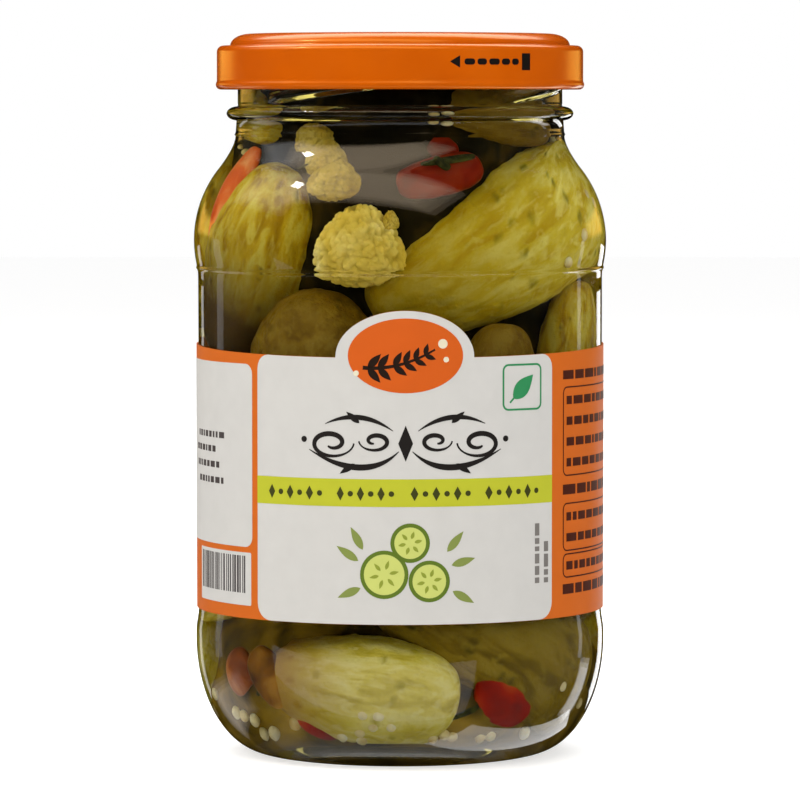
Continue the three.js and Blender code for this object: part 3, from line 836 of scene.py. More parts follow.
def cap_lug(angle):
    """A tongue folded in from the curl, rounded at its corners."""
    corner = 0.5
    length, width = CAP_LUG_HALF_LENGTH, CAP_LUG_HALF_WIDTH
    outline = []
    for x, y, start in ((1, 1, 0), (-1, 1, 90), (-1, -1, 180), (1, -1, 270)):
        centre = (x * (length - corner), y * (width - corner))
        outline.extend(arc_points(centre, corner, corner, start, start + 90, 4))
    turn = math.radians(angle)
    layers = []
    for height in (0, CAP_LUG_HEIGHT):
        for along, inward in outline:
            radius = CAP_LUG_MIDDLE - inward
            x = radius * math.sin(turn) + along * math.cos(turn)
            y = -radius * math.cos(turn) + along * math.sin(turn)
            layers.append((x, y, CAP_LUG_BOTTOM + height))
    count = len(outline)
    faces = [tuple(range(count)), tuple(range(2 * count - 1, count - 1, -1))]
    for i in range(count):
        j = (i + 1) % count
        faces.append((j, i, count + i, count + j))
    return layers, faces


def make_cap():
    held_angle = RAMP_FIRST_ANGLE + RAMP_SPAN * 0.95
    parts = [turned(cap_outline(), 240)]
    for i in range(RAMP_COUNT):
        parts.append(cap_lug(held_angle + 360 / RAMP_COUNT * i))
    vertices, faces = joined(parts)
    lid = new_piece("lid_cap", vertices, faces, lacquer_material(), "lid")
    fix_normals(lid)
    return lid


def fix_normals(piece):
    mesh = bmesh.new()
    mesh.from_mesh(piece.data)
    bmesh.ops.recalc_face_normals(mesh, faces=mesh.faces)
    mesh.to_mesh(piece.data)
    mesh.free()


# The label and its print. A place on the label is (along, height): along is the arc from the front to the right.


def label_edge(along):
    sag = LABEL_FRONT_SAG * max(0, math.cos(along / LABEL_OUTER))
    across = (along - BADGE_ALONG) / BADGE_HALF_WIDTH
    badge = BADGE_RISE * math.sqrt(1 - across * across) if abs(across) < 1 else 0
    return LABEL_TOP - sag + badge


def wrapped(points, faces, low, high, arc_radius=LABEL_OUTER):
    """A closed slab over flat (along, height) faces, cut finely and wrapped between two radii."""
    mesh = bmesh.new()
    corners = [mesh.verts.new((along, height, 0)) for along, height in points]
    for face in faces:
        mesh.faces.new([corners[i] for i in face])
    left = min(point[0] for point in points)
    right = max(point[0] for point in points)
    first = math.floor(left / WRAP_STEP) + 1
    for i in range(first, math.ceil(right / WRAP_STEP)):
        whole = mesh.verts[:] + mesh.edges[:] + mesh.faces[:]
        bmesh.ops.bisect_plane(mesh, geom=whole, dist=1e-4, plane_co=(i * WRAP_STEP, 0, 0), plane_no=(1, 0, 0))
    mesh.normal_update()
    mesh.verts.index_update()
    flat = np.array([vertex.co[:] for vertex in mesh.verts])
    count = len(flat)
    angles = np.degrees(flat[:, 0] / arc_radius)
    vertices = np.concatenate([round_place(angles, high, flat[:, 1]), round_place(angles, low, flat[:, 1])])
    slab = []
    for face in mesh.faces:
        turn = [vertex.index for vertex in face.verts]
        if face.normal.z < 0:
            turn.reverse()
        slab.append(tuple(turn))
        slab.append(tuple(count + i for i in reversed(turn)))
    walls = boundary_walls(mesh, count)
    mesh.free()
    return vertices, slab + walls


def boundary_walls(mesh, count):
    """Quads that close a slab along the open edges of its flat face."""
    walls = []
    for edge in mesh.edges:
        if len(edge.link_faces) != 1:
            continue
        face = edge.link_faces[0]
        loop = next(loop for loop in face.loops if loop.edge == edge)
        a, b = loop.vert.index, loop.link_loop_next.vert.index
        if face.normal.z < 0:
            a, b = b, a
        walls.append((b, a, count + a, count + b))
    return walls


def filled(outline, low, high, arc_radius=LABEL_OUTER):
    triangles = tessellate_polygon([[Vector((along, height, 0)) for along, height in outline]])
    return wrapped(outline, triangles, low, high, arc_radius)


def round_box(left, right, bottom, top, corner, steps=5):
    outline = []
    for x, y, start in ((right, top, 0), (left, top, 90), (left, bottom, 180), (right, bottom, 270)):
        centre = (x - math.copysign(corner, x - (left + right) / 2), y - math.copysign(corner, y - (bottom + top) / 2))
        outline.extend(arc_points(centre, corner, corner, start, start + 90, steps))
    return outline


def box_line(left, right, bottom, top, corner, line):
    """The outline of a rounded box as a closed ribbon of points and faces."""
    outer = round_box(left, right, bottom, top, corner)
    inner = round_box(left + line, right - line, bottom + line, top - line, max(corner - line, 0.05))
    count = len(outer)
    faces = []
    for i in range(count):
        j = (i + 1) % count
        faces.append((i, j, count + j, count + i))
    return outer + inner, faces


def oval(centre, half_width, half_height, steps=48):
    return arc_points(centre, half_width, half_height, 0, 360, steps)[:-1]


def stroke(line, widths):
    """A ribbon along a line of points, as points and faces, with its own width at each point."""
    line = np.asarray(line, dtype=float)
    tangents = np.gradient(line, axis=0)
    tangents /= np.linalg.norm(tangents, axis=1)[:, None]
    sides = np.stack([-tangents[:, 1], tangents[:, 0]], axis=1)
    widths = np.asarray(widths)[:, None]
    points = np.concatenate([line + sides * widths / 2, line - sides * widths / 2])
    count = len(line)
    faces = [(i, count + i, count + i + 1, i + 1) for i in range(count - 1)]
    return [tuple(point) for point in points], faces


def leaf(root, tip, width, steps=10):
    """A pointed leaf between two places, as an outline."""
    root, tip = np.array(root, dtype=float), np.array(tip, dtype=float)
    length = tip - root
    side = np.array([-length[1], length[0]]) / np.linalg.norm(length)
    along = np.linspace(0, 1, steps)
    bulge = np.sin(math.pi * along**0.8) * width / 2
    upper = [tuple(root + length * t + side * b) for t, b in zip(along, bulge)]
    lower = [tuple(root + length * t - side * b) for t, b in zip(along[1:-1], bulge[1:-1])]
    return upper + lower[::-1]


class Ink:
    """One colour of print, collected as slabs on one layer above the paper."""

    def __init__(self, name, colour, layer, arc_radius=LABEL_OUTER, node="label", slot="label_paper"):
        self.name = name
        self.colour = colour
        self.low = arc_radius - 0.05
        self.high = arc_radius + INK_STEP * layer
        self.arc_radius = arc_radius
        self.node = node
        self.slot = slot
        self.parts = []

    def fill(self, outline):
        self.parts.append(filled(outline, self.low, self.high, self.arc_radius))

    def ribbon(self, points_and_faces):
        self.parts.append(wrapped(*points_and_faces, self.low, self.high, self.arc_radius))

    def bar(self, left, right, bottom, top):
        self.fill([(left, bottom), (right, bottom), (right, top), (left, top)])

    def dashes(self, left, right, bottom, top, seed, gap=0.7, shortest=0.8, longest=3.6):
        """A row of plain dashes of uneven length in place of small words."""
        draw = np.random.default_rng(seed)
        start = left
        while start < right - shortest:
            end = min(right, start + draw.uniform(shortest, longest))
            self.bar(start, end, bottom, top)
            start = end + gap

    def done(self):
        vertices, faces = joined(self.parts)
        piece = new_piece(self.name, vertices, faces, ink_material(self.name, self.colour), self.node, False)
        return piece


WHITE_PAPER = rgb(201, 200, 197)
LABEL_ORANGE = rgb(203, 97, 5)
FRONT_LEFT = -27.9
FRONT_RIGHT = 30.35
SIDE_RIGHT = -29.3
SIDE_LEFT = -73
PANEL_EDGE_GAP = 0.03


def make_label_paper():
    half = math.radians(LABEL_HALF_ANGLE) * LABEL_OUTER
    top = []
    for along in np.linspace(half, BADGE_ALONG + BADGE_HALF_WIDTH, 60):
        top.append((along, label_edge(along)))
    for turn in np.linspace(0, math.pi, 40)[1:-1]:
        along = BADGE_ALONG + BADGE_HALF_WIDTH * math.cos(turn)
        top.append((along, label_edge(along)))
    for along in np.linspace(BADGE_ALONG - BADGE_HALF_WIDTH, -half, 60):
        top.append((along, label_edge(along)))
    bottom = [(along, LABEL_BOTTOM) for along in np.linspace(-half, half, 150)]
    vertices, faces = filled(bottom + top, LABEL_INNER, LABEL_OUTER)
    material = ink_material("label_orange", LABEL_ORANGE)
    return new_piece("label_sheet", vertices, faces, material, "label", False)


def front_panel_outline():
    """White field at the front, with the badge's bump in its top edge."""
    low, gap = LABEL_BOTTOM + PANEL_EDGE_GAP, PANEL_EDGE_GAP
    bottom_corner, top_corner = 3.0, 2.5
    outline = arc_points((FRONT_LEFT + bottom_corner, low + bottom_corner), bottom_corner, bottom_corner, 180, 270, 6)
    outline += arc_points((FRONT_RIGHT - bottom_corner, low + bottom_corner), bottom_corner, bottom_corner, 270, 360, 6)
    right_top = label_edge(FRONT_RIGHT) - gap
    left_top = label_edge(FRONT_LEFT) - gap
    outline += arc_points((FRONT_RIGHT - top_corner, right_top - top_corner), top_corner, top_corner, 0, 90, 5)
    for along in np.linspace(FRONT_RIGHT - top_corner - 1, BADGE_ALONG + BADGE_HALF_WIDTH, 12):
        outline.append((along, label_edge(along) - gap))
    for turn in np.linspace(0, math.pi, 40)[1:-1]:
        along = BADGE_ALONG + (BADGE_HALF_WIDTH - gap) * math.cos(turn)
        outline.append((along, label_edge(along) - gap))
    for along in np.linspace(BADGE_ALONG - BADGE_HALF_WIDTH, FRONT_LEFT + top_corner + 1, 12):
        outline.append((along, label_edge(along) - gap))
    outline += arc_points((FRONT_LEFT + top_corner, left_top - top_corner), top_corner, top_corner, 90, 180, 5)
    return outline


def make_white_fields():
    ink = Ink("print_white", WHITE_PAPER, 1)
    ink.fill(front_panel_outline())
    ink.fill(round_box(SIDE_LEFT, SIDE_RIGHT, 39.5, 72.3, 1.8))
    ink.fill(round_box(-48.75, -29.6, 29, 38.5, 0.3))
    return ink.done()


def make_lime_band():
    ink = Ink("print_lime", rgb(183, 187, 40), 2)
    ink.bar(FRONT_LEFT, FRONT_RIGHT, 47.6, 52.5)
    return ink.done()


def make_badge():
    ink = Ink("print_badge", rgb(205, 88, 4), 2)
    ink.fill(oval((1.0, 74.3), 10.3, 6.6, 64))
    return ink.done()


def sprig(ink, start, end, rise, leaves, leaf_length, leaf_width, stem):
    """A bowed stem with pairs of leaves that get smaller towards its end."""
    control = ((start[0] + end[0]) / 2, (start[1] + end[1]) / 2 + rise)
    line = curve_points(start, control, end, 14)
    ink.ribbon(stroke(line, np.linspace(stem, stem * 0.5, len(line))))
    for i in range(leaves):
        share = (i + 0.6) / leaves
        root = np.array(line[round(share * 13)])
        ahead = np.array(line[min(14, round(share * 13) + 1)]) - root
        heading = math.atan2(ahead[1], ahead[0])
        size = leaf_length * (1.05 - 0.45 * share)
        for side in (-1, 1):
            turn = heading + side * math.radians(48)
            tip = root + size * np.array([math.cos(turn), math.sin(turn)])
            ink.fill(leaf(root, tip, leaf_width * (1.05 - 0.4 * share)))


def make_badge_sprig():
    ink = Ink("print_badge_sprig", rgb(38, 24, 14), 3)
    sprig(ink, (-6.6, 72.2), (6.2, 75.4), -2.2, 6, 3.4, 1.35, 0.7)
    ink.done()
    pale = Ink("print_badge_pale", rgb(222, 214, 188), 3)
    pale.fill(oval((7.6, 76.4), 0.85, 0.85, 20))
    pale.fill(oval((-7.8, 71.2), 0.5, 0.5, 16))
    pale.fill(oval((8.2, 73.6), 0.5, 0.5, 16))
    pale.done()


def scroll(ink, start, size, mirror, turns=1.35, width=0.9):
    """A spiral that opens into a long tail, mirrored for the other side."""
    line, widths = [], []
    steps = 46
    for i in range(steps + 1):
        t = i / steps
        angle = math.pi * 2 * turns * (1 - t) + math.pi
        radius = size * (0.22 + 0.78 * t**0.8)
        line.append((start[0] + mirror * radius * math.cos(angle), start[1] + radius * 0.62 * math.sin(angle)))
        widths.append(width * (0.35 + 0.65 * math.sin(math.pi * min(1, t * 1.1)) ** 0.8))
    ink.ribbon(stroke(line, widths))


def tail(ink, start, control, end, width):
    line = curve_points(start, control, end, 22)
    widths = [width * (0.12 + 0.88 * math.sin(math.pi * i / 22)) for i in range(23)]
    ink.ribbon(stroke(line, widths))


def make_ornament():
    """A scrolled flourish, the same on both sides, where the front panel has its largest words."""
    ink = Ink("print_flourish", rgb(32, 28, 26), 2)
    middle, level = 1.0, 58.8
    for mirror in (-1, 1):
        scroll(ink, (middle + mirror * 13.4, level), 4.2, mirror)
        scroll(ink, (middle + mirror * 5.4, level + 0.4), 2.9, -mirror, 1.2, 0.8)
        start = (middle + mirror * 1.2, level - 1.4)
        tail(ink, start, (middle + mirror * 7, level - 7.2), (middle + mirror * 17.6, level - 1.2), 1.1)
        start = (middle + mirror * 2.2, level + 2.2)
        tail(ink, start, (middle + mirror * 8, level + 6.4), (middle + mirror * 14.5, level + 3.4), 0.9)
        ink.fill(leaf((middle + mirror * 8.2, level + 3.6), (middle + mirror * 10.6, level + 5.6), 1.1))
        ink.fill(leaf((middle + mirror * 9.0, level - 3.6), (middle + mirror * 11.8, level - 5.4), 1.1))
        ink.fill(oval((middle + mirror * 18.6, level + 0.6), 0.55, 0.55, 16))
    ink.fill([(middle, level - 3.2), (middle + 1.3, level), (middle, level + 3.2), (middle - 1.3, level)])
    ink.done()


def make_band_pattern():
    """Lozenges and dots in four groups along the lime band."""
    ink = Ink("print_band_pattern", rgb(62, 64, 18), 3)
    level, half_height = 49.9, 1.25
    groups = ((-25.4, -13.6), (-11.6, -0.6), (1.6, 13.2), (15.2, 27.4))
    for left, right in groups:
        count = round((right - left) / 2.0)
        step = (right - left) / count
        for i in range(count):
            middle = left + (i + 0.5) * step
            half = step * 0.36
            if i % 2 == 0:
                ink.fill([(middle - half, level), (middle, level - half_height),
                          (middle + half, level), (middle, level + half_height)])
            else:
                ink.fill(oval((middle, level), 0.5, 0.5, 14))
    ink.done()


def make_picture():
    """Three cucumber slices and a few leaves."""
    rind = Ink("print_slice_rind", rgb(92, 116, 30), 2)
    flesh = Ink("print_slice_flesh", rgb(196, 204, 110), 3)
    seeds = Ink("print_slice_seeds", rgb(140, 152, 52), 4)
    leaves = Ink("print_leaves", rgb(128, 142, 70), 2)
    for centre, radius in (((-2.8, 35.6), 4.3), ((5.2, 34.4), 3.7), ((1.8, 41.2), 3.5)):
        rind.fill(oval(centre, radius, radius, 40))
        flesh.fill(oval(centre, radius - 0.7, radius - 0.7, 36))
        for i in range(6):
            turn = math.radians(60 * i + 12)
            root = (centre[0] + 0.22 * radius * math.cos(turn), centre[1] + 0.22 * radius * math.sin(turn))
            tip = (centre[0] + 0.62 * radius * math.cos(turn), centre[1] + 0.62 * radius * math.sin(turn))
            seeds.fill(leaf(root, tip, 0.65, 7))
    for root, tip in (((-7.4, 38.0), (-11.4, 40.6)), ((-6.6, 40.0), (-8.8, 44.0)),
                      ((9.2, 37.2), (13.6, 38.4)), ((8.4, 39.6), (11.4, 43.2)),
                      ((-7.0, 33.2), (-11.2, 31.4)), ((9.4, 32.6), (13.4, 30.4))):
        leaves.fill(leaf(root, tip, 1.5))
    for ink in (rind, flesh, seeds, leaves):
        ink.done()


def make_leaf_mark():
    """A green rounded square with a leaf in it."""
    ink = Ink("print_leaf_mark", rgb(44, 138, 84), 2)
    ink.ribbon(box_line(18.96, 27.6, 64.3, 72.6, 1.2, 0.35))
    ink.fill(leaf((21.2, 66.4), (25.6, 70.6), 3.0, 14))
    ink.ribbon(stroke(curve_points((20.5, 65.7), (21.0, 66.2), (22.0, 67.2), 4), [0.35] * 5))
    ink.done()


def make_side_note():
    """Two columns of small grey dashes up the right of the front panel."""
    ink = Ink("print_grey_note", rgb(120, 116, 112), 2)
    draw = np.random.default_rng(11)
    for left, top in ((26.1, 44.0), (28.3, 41.6)):
        low = 33.3
        while low < top - 0.5:
            high = min(top, low + draw.uniform(0.8, 2.4))
            ink.bar(left, left + 1.05, low, high)
            low = high + 0.45
    ink.done()


def make_date_marks():
    """Rows of dashes of uneven length on the left panel."""
    ink = Ink("print_date_marks", rgb(72, 66, 66), 2)
    rows = ((-50.5, -37.5, 58.6), (-52.0, -41.0, 56.0), (-51.5, -39.5, 53.2), (-50.0, -37.0, 50.4))
    for seed, (left, right, low) in enumerate(rows):
        ink.dashes(left, right, low, low + 1.1, seed + 20, 0.6, 0.6, 1.9)
    ink.done()


def make_bar_marks():
    """Plain upright bars of uneven width in the small white box."""
    ink = Ink("print_upright_bars", rgb(70, 66, 66), 2)
    draw = np.random.default_rng(5)
    left = -47.8
    while left < -31.0:
        width = draw.choice([0.22, 0.34, 0.5])
        ink.bar(left, left + width, 31.2, 37.9)
        left += width + draw.choice([0.22, 0.34, 0.5])
    ink.done()


def make_panel_lines():
    """Dark rows and outlined boxes on the right panel, which run on round the side."""
    ink = Ink("print_panel_lines", rgb(74, 26, 8), 1)
    left, right = 33.5, 66.0
    rows = ((69.4, 71.0), (48.7, 50.5), (30.8, 32.6))
    for seed, (low, high) in enumerate(rows):
        ink.dashes(left, right, low, high, seed + 40, 0.6, 1.0, 4.2)
    for bottom, top, count in ((52.0, 68.1, 4), (38.5, 47.2, 2), (33.7, 38.1, 1)):
        ink.ribbon(box_line(left, right, bottom, top, 1.2, 0.25))
        pitch = (top - bottom - 1.2) / count
        for row in range(count):
            low = bottom + 0.6 + pitch * (row + 0.5) - 0.75
            ink.dashes(left + 1.1, right - 1.2, low, low + 1.5, 60 + row + count * 7, 0.6, 0.9, 3.6)
    ink.done()


def make_cap_marks():
    """A plain arrow and a row of plain blocks on the side of the cap."""
    ink = Ink("print_cap_marks", rgb(24, 18, 14), 1, CAP_RADIUS, "lid", "cap_lacquer")

    def along(angle):
        return math.radians(angle) * CAP_RADIUS

    middle = 126.1
    ink.fill([(along(15.3), middle), (along(18.5), middle - 1.1), (along(18.5), middle + 1.1)])
    blocks = ((19.9, 23.4), (24.2, 27.4), (28.2, 31.9), (32.7, 35.7), (36.5, 39.1))
    for left, right in blocks:
        ink.fill(round_box(along(left), along(right), middle - 0.55, middle + 0.55, 0.5))
    ink.bar(along(40.4), along(43.8), 124.6, 127.6)
    ink.done()


def make_label():
    make_label_paper()
    make_white_fields()
    make_lime_band()
    make_badge()
    make_badge_sprig()
    make_ornament()
    make_band_pattern()
    make_picture()
    make_leaf_mark()
    make_side_note()
    make_date_marks()
    make_bar_marks()
    make_panel_lines()


# What fills the jar

GHERKINS = [
    # Front, above the label
    ("bright", (-4.5, -24.5, 81.5), (33, 2, 106), 22.5, 5),
    ("olive", (-17.8, -16, 104.6), (-26.5, -7, 73), 21, 1),
    ("dark", (-17.3, -32, 75.5), (-4, 8, 72), 25, 0),
    ("dark", (17.5, -25, 79.5), (13, -25, 42), 17, 1),
    ("olive", (28, -8, 86.5), (26, -12, 44), 16, 1),
    # Back, above the label
    ("olive", (22, 16, 112), (26, 12, 66), 17, 2),
    ("bright", (10, 24, 109), (-22, 16, 80), 18, 4),
    ("olive", (-14, 22, 111), (-27, 2, 88), 15, 3),
    ("dark", (19, 22, 88), (-8, 27, 72), 16, 4),
    # Neck
    ("dark", (3, -17, 118.5), (23, -6, 113.5), 12, 3),
    ("dark", (20, 2, 116.5), (-4, 20, 118.5), 12, 4),
    ("olive", (-10, 16, 118.5), (-19, -12, 113.5), 12, 4),
    # At the gap in the label
    ("olive", (0, 27, 76), (2, 26, 30), 17, 1),
    # Foot of the jar
    ("pale", (-20.5, -19, 16.5), (9.5, -26.8, 13.5), 17.5, 5),
    ("moss", (-3, -23, 30), (30, -8, 13), 21, 5),
    ("olive", (27, 2, 26), (8, 27, 15), 18, 6),
    ("bright", (14, 25, 25), (-20, 20, 16), 17, 6),
    ("pale", (-16, 24, 28), (-30, -4, 15), 17, 5),
    ("bright", (-26, -14, 34), (-29, 4, 28), 14, 2),
]

# Which end of a gherkin is darkened and browned as painted shade, how deeply, and over what share of its length
STAINS = {1: (0, 0.8, 0.7), 2: (1, 1.25, 0.9), 5: (1, 1.1, 0.9), 14: (0, 0.9, 0.6)}

PEPPERS = [
    ("orange", (-23.5, -10.5, 109.5), (-29.5, -9, 91.5), 8, 0.8),
    ("deep", (-0.5, -24.5, 102.5), (13.5, -22, 106.5), 7.5, 1),
    ("deep", (4, -20, 113), (8.5, -21, 107.5), 5, 0.5),
    ("red", (12.5, -26.8, 15.2), (23, -20.8, 13.2), 11, 1),
    ("rust", (-26.5, -13.5, 19.5), (-25, -17.5, 14), 8, 1),
    ("brown", (-24.5, -20, 20.5), (-19, -24.5, 12.5), 8, 0.5),
    ("red", (-17.5, -24, 10), (-10.5, -27, 9), 5.5, 0.5),
    ("red", (26, 19, 92), (12, 30, 99), 7, 2),
    ("red", (-31, 9, 20), (-27, 17, 11), 8, 1),
    ("orange", (-8, 31, 98), (-19, 24, 91), 6, 1),
]

FLORETS = [
    ((-6.7, -27, 93), (7.9, 6.5, 7.5)),
    ((-14.7, -20.9, 112.4), (3.9, 3.3, 4.4)),
    ((-12.7, -23.6, 108), (3.9, 3.3, 4.4)),
    ((-11.2, -25.8, 104.2), (4.7, 3.8, 4)),
    ((-1.6, -28.6, 97.4), (1.5, 1.5, 1.8)),
    ((6, 25, 90), (8, 7, 8)),
]

SEEN_SEEDS = [
    (-82, 102), (-84, 99.5), (-85, 97), (75, 101.5), (79, 100), (66, 95), (58, 90.5), (14, 117), (20, 116.5),
    (-66, 9.5), (-62, 9.1), (-57, 8.6), (-38, 8.4), (-57, 6.8), (-51, 6.9), (-21, 7), (-14, 7.7), (-12, 10.6),
    (-7, 10.4), (-9, 8.6), (-3, 8.6), (-14, 6.6), (12, 6.8), (16, 7.2), (19, 7), (30, 6.8), (34, 7), (50, 7),
    (58, 14.2),
]


# A seed against the glass is pressed this share of its radius into what lies there, or else sits on it
SEED_PRESSED = 0.45
SEED_SUNK = 0.4
SEED_FLATNESS = 0.93


def reach_at(heights):
    """How far out a piece may reach at a height, just clear of the glass."""
    return np.interp(heights, inside_heights, inside_radii) - WALL_GAP


def pressed_in(points, softness=1.2):
    """Presses soft pieces in where they would cross the glass, with a rounded edge to the flat."""
    points = points.copy()
    points[:, 2] = np.maximum(points[:, 2], INSIDE_FLOOR + 1 + WALL_GAP)
    radii = np.maximum(np.hypot(points[:, 0], points[:, 1]), 1e-6)
    reach = reach_at(points[:, 2])
    over = (radii - reach) / softness
    kept = reach - softness * np.log1p(np.exp(np.clip(-over, -40, 40)))
    points[:, :2] *= (np.minimum(radii, kept) / radii)[:, None]
    return points


def bowed_line(start, end, bow):
    start, end = np.array(start, dtype=float), np.array(end, dtype=float)
    middle = (start + end) / 2
    outward = np.array([middle[0], middle[1], 0])
    outward /= np.linalg.norm(outward)
    control = middle + outward * 2 * bow

    def point(t):
        t = t[:, None]
        return (1 - t) ** 2 * start + 2 * t * (1 - t) * control + t**2 * end

    def tangent(t):
        t = t[:, None]
        direction = (1 - t) * (control - start) + t * (end - control)
        return direction / np.linalg.norm(direction, axis=1)[:, None]

    return point, tangent, outward


def gherkin(start, end, width, bow, seed, columns=72, rows=96, flatness=1.0, warts=True):
    """A rounded body along a bowed line, with lobes, soft dents and warts. Returns points, faces, skin places, a
    wart mask and the share of the length at each point."""
    directions, faces = ball(columns, rows)
    point, tangent, outward = bowed_line(start, end, bow)
    draw = np.random.default_rng(seed)
    along = (directions[:, 1] + 1) / 2
    tangents = tangent(along)
    sides = np.cross(tangents, outward)
    sides /= np.linalg.norm(sides, axis=1)[:, None]
    ups = np.cross(sides, tangents)
    roundness = np.maximum(1e-6, 1 - directions[:, 1] ** 2) ** GHERKIN_BLUNTNESS
    thickness = width / 2 * roundness * (1 + GHERKIN_TAPER * directions[:, 1])
    length = np.linalg.norm(np.subtract(end, start))
    turn = np.arctan2(directions[:, 2], directions[:, 0])
    skin = np.stack([directions[:, 0] * thickness, directions[:, 2] * thickness, along * length], axis=1) + 50 * seed
    lobes = 0.012 * np.cos(3 * turn + draw.uniform(0, 6)) + 0.003 * np.cos(7 * turn + draw.uniform(0, 6))
    dents = 0.02 * waves(skin, 14, seed) + 0.012 * waves(skin, 5, seed + 900) + 0.009 * waves(skin, 2.4, seed + 950)
    thickness = thickness * (1 + lobes + dents)
    mask = np.zeros(len(directions))
    raised = np.zeros(len(directions))
    if warts:
        count = int(length * width / 11)
        for _ in range(count):
            spot_turn, spot_along = draw.uniform(0, 2 * math.pi), draw.uniform(0.03, 0.97)
            size = draw.uniform(0.4, 0.8)
            across = (turn - spot_turn + math.pi) % (2 * math.pi) - math.pi
            distance = np.hypot(across * width / 2, (along - spot_along) * length)
            bulge = np.exp(-((distance / size) ** 2))
            raised = np.maximum(raised, bulge * draw.uniform(0.15, 0.4))
            tint = draw.uniform(0.6, 1.0) if draw.random() < 0.5 else 0.1
            mask = np.maximum(mask, tint * np.exp(-((distance / size) ** 4)))
    ring = np.hypot(directions[:, 0], directions[:, 2])
    thickness = thickness + raised / np.maximum(ring * roundness, 0.25)
    points = point(along)
    points += sides * (directions[:, 0] * thickness)[:, None]
    points += ups * (directions[:, 2] * thickness * flatness)[:, None]
    return pressed_in(points), faces, skin, mask, along


def make_gherkins():
    # The fifth colour of each skin is the painted shade at its darkened end; brown is that colour for the dark and moss
    # skins
    brown = rgb(92, 68, 14)
    skins = {
        "bright": skin_material("skin_bright", rgb(252, 240, 126), rgb(228, 206, 58), rgb(200, 166, 18),
                                rgb(100, 104, 12), rgb(146, 120, 10), 0.5),
        "olive": skin_material("skin_olive", rgb(222, 208, 90), rgb(204, 174, 32), rgb(160, 122, 6),
                               rgb(112, 98, 14), rgb(70, 50, 8), 0.7),
        # The dark skin is partly the gherkins' own darker olive and partly painted shade for those lying deep in the
        # heap and under the cap
        "dark": skin_material("skin_dark_shaded", rgb(146, 120, 40), rgb(130, 102, 24), rgb(106, 80, 14),
                              rgb(92, 76, 12), brown, 0.3),
        "moss": skin_material("skin_moss", rgb(156, 134, 44), rgb(138, 114, 26), rgb(104, 86, 14),
                              rgb(80, 72, 10), brown, 0.4),
        "pale": skin_material("skin_pale", rgb(246, 238, 150), rgb(232, 218, 92), rgb(196, 176, 36),
                              rgb(176, 160, 30), rgb(156, 106, 24), 0.5, 0.3),
    }
    for index, (kind, start, end, width, bow) in enumerate(GHERKINS):
        points, faces, skin, mask, along = gherkin(start, end, width, bow, 100 + index)
        piece = new_piece(f"gherkin_{index + 1}", points, faces, skins[kind], "pickle_heap")
        # Painted shade: the listed end is darkened over a share of the length
        stained_end, depth, stain_length = STAINS.get(index + 1, (0, 0, 1))
        near = np.clip(1 - np.abs(along - stained_end) / stain_length, 0, 1)
        set_attribute(piece, "skin", "FLOAT_VECTOR", skin)
        set_attribute(piece, "wart", "FLOAT", mask)
        set_attribute(piece, "stain", "FLOAT", np.minimum(1, depth * near * near * (3 - 2 * near)))


def make_peppers():
    flesh = {
        "red": pepper_material("pepper_red", rgb(116, 10, 2), rgb(168, 28, 4), rgb(196, 74, 24)),
        "orange": pepper_material("pepper_orange", rgb(196, 60, 16), rgb(232, 112, 50), rgb(250, 190, 120)),
        "deep": pepper_material("pepper_deep", rgb(92, 14, 4), rgb(136, 30, 8), rgb(156, 60, 26)),
        "rust": pepper_material("pepper_rust", rgb(104, 46, 12), rgb(158, 80, 26), rgb(196, 124, 60)),
        "brown": pepper_material("pepper_brown", rgb(74, 44, 8), rgb(130, 84, 20), rgb(190, 136, 50)),
    }
    for index, (kind, start, end, width, bow) in enumerate(PEPPERS):
        points, faces = gherkin(start, end, width, bow, 300 + index, 56, 56, 0.6, False)[:2]
        new_piece(f"pepper_{index + 1}", points, faces, flesh[kind], "pickle_heap")


def crumbly(directions, size, seed):
    """A floret's head: knobs of three sizes over a rounded lump. Returns points about its middle and a mask of painted
    shade in its creases.
    """
    draw = np.random.default_rng(seed)
    size = np.array(size)
    surface = directions * size
    raised = np.zeros(len(directions))
    for count, knob, lift in ((22, 0.32, 0.35), (240, 0.1, 0.55), (800, 0.05, 0.4)):
        centres = draw.normal(size=(count, 3))
        centres /= np.linalg.norm(centres, axis=1)[:, None]
        nearest = np.full(len(directions), 9.0)
        for centre in centres:
            nearest = np.minimum(nearest, np.linalg.norm(directions - centre, axis=1))
        raised += lift * np.sqrt(np.clip(1 - (nearest / (knob * 1.6)) ** 2, 0, 1))
    # Painted shade: the low places between the knobs, where shade falls, are marked to be darkened
    crease = np.clip(1 - raised / np.percentile(raised, 75), 0, 1)
    surface = surface * (0.8 + 0.15 * raised)[:, None]
    surface[:, 0] *= 1 - 0.3 * directions[:, 2]
    return surface, crease


def make_florets():
    near = floret_material("floret_near", rgb(230, 204, 90), rgb(242, 224, 130), rgb(250, 240, 184), rgb(172, 148, 44))
    # The florets after the first get a darker copy of the same colours, as painted shade
    far = floret_material("floret_far_shaded", rgb(172, 142, 40), rgb(198, 172, 64), rgb(218, 198, 104), rgb(124, 100, 18))
    parts, creases = [], []
    for index, (middle, size) in enumerate(FLORETS):
        directions, faces = ball(200, 140) if index == 0 else ball(140, 100)
        surface, crease = crumbly(directions, size, 400 + index)
        parts.append((pressed_in(surface + np.array(middle)), faces))
        creases.append(crease)
    for index, ((points, faces), crease) in enumerate(zip(parts, creases)):
        material = near if index == 0 else far
        piece = new_piece(f"floret_{index + 1}", points, faces, material, "pickle_heap")
        set_attribute(piece, "crease", "FLOAT", crease)


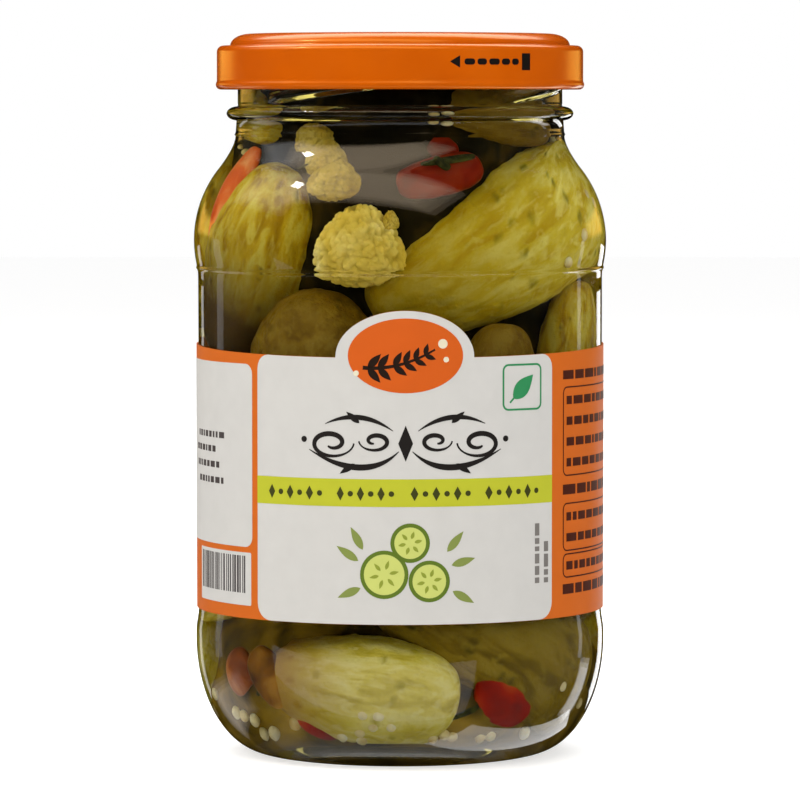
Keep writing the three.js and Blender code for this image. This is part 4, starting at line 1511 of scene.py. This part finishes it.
# A lumpy body in the middle of the heap, dark as painted shade where it shows in the gaps between the pieces
def make_core():
    outline = finely(CORE_OUTLINE, 1.5)

    def relief(angles, radii, height, _):
        points = round_place(angles, np.full(len(angles), 24.0), height)
        lumps = 0.8 * np.abs(waves(points, 22, 8)) - 0.8 + 0.2 * waves(points, 5, 9)
        return np.maximum(0.2, radii + lumps * np.minimum(1, radii / 12))

    vertices, faces = turned(outline, 120, relief)
    return new_piece("heap_core", vertices, faces, core_material(), "pickle_heap")


def contents_tree():
    vertices, faces = [], []
    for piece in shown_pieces():
        if not piece.name.startswith(("gherkin", "pepper", "floret", "heap_core")):
            continue
        start = len(vertices)
        vertices.extend(Vector(vertex.co) for vertex in piece.data.vertices)
        faces.extend([tuple(start + i for i in polygon.vertices) for polygon in piece.data.polygons])
    return BVHTree.FromPolygons(vertices, faces)


def make_seeds():
    """Mustard seeds against the glass, where they are seen and thinly round the back."""
    draw = np.random.default_rng(21)
    tree = contents_tree()
    places = [(angle, height, draw.uniform(1.0, 1.2)) for angle, height in SEEN_SEEDS]
    for angle in np.linspace(80, 280, 20):
        places.append((angle + draw.uniform(-5, 5), 6.6 + 6 * draw.random() ** 2, draw.uniform(0.9, 1.15)))
    for angle in np.linspace(90, 270, 16):
        places.append((angle + draw.uniform(-5, 5), draw.uniform(80, 112), draw.uniform(0.9, 1.15)))
    directions, faces = ball(16, 10)
    parts = []
    for angle, height, size in places:
        slope = (reach_at(height + 0.5) - reach_at(height - 0.5)) / 1.0
        outward = np.array([math.sin(math.radians(angle)), -math.cos(math.radians(angle)), -slope])
        inward = -outward / np.linalg.norm(outward)
        start = round_place(angle, reach_at(height), height)
        hit = tree.ray_cast(Vector(start) * MM, Vector(inward))
        depth = hit[3] / MM if hit[0] else 0.0
        middle = start + inward * max(size * SEED_PRESSED, depth - size * SEED_SUNK)
        shape = directions * size * (1 + 0.05 * waves(directions + angle, 1.4, 5))[:, None]
        parts.append((shape * SEED_FLATNESS + middle, faces))
    vertices, faces = joined(parts)
    return new_piece("mustard_seeds", vertices, faces, seed_material(), "pickle_heap")


def make_herbs():
    """Dark scraps of leaf near the glass."""
    places = (
        ((3.5, -28.2, 107), (13.5, -26, 108.6), 1.5, 0.3),
        ((6, -28, 108.4), (8.5, -27.4, 106), 1.8, 0.2),
        ((-18.6, -24.6, 106), (-16.6, -25.8, 107), 0.5, 0.1),
        ((-24.5, -20.5, 13), (-21, -24, 18.5), 1.4, 0.3),
        ((9, -29.5, 10), (14, -27.5, 12), 1.1, 0.3),
    )
    parts = []
    for index, (start, end, width, bow) in enumerate(places):
        points, faces = gherkin(start, end, width, bow, 500 + index, 12, 24, 0.35, False)[:2]
        parts.append((points, faces))
    vertices, faces = joined(parts)
    return new_piece("herb_scraps", vertices, faces, herb_material(), "pickle_heap")


make_camera()
make_world()
make_floor()
make_lights()
set_up_render()
make_jar()
make_cap()
make_cap_marks()
make_label()
make_core()
make_gherkins()
make_peppers()
make_florets()
make_seeds()
make_herbs()
make_brine()
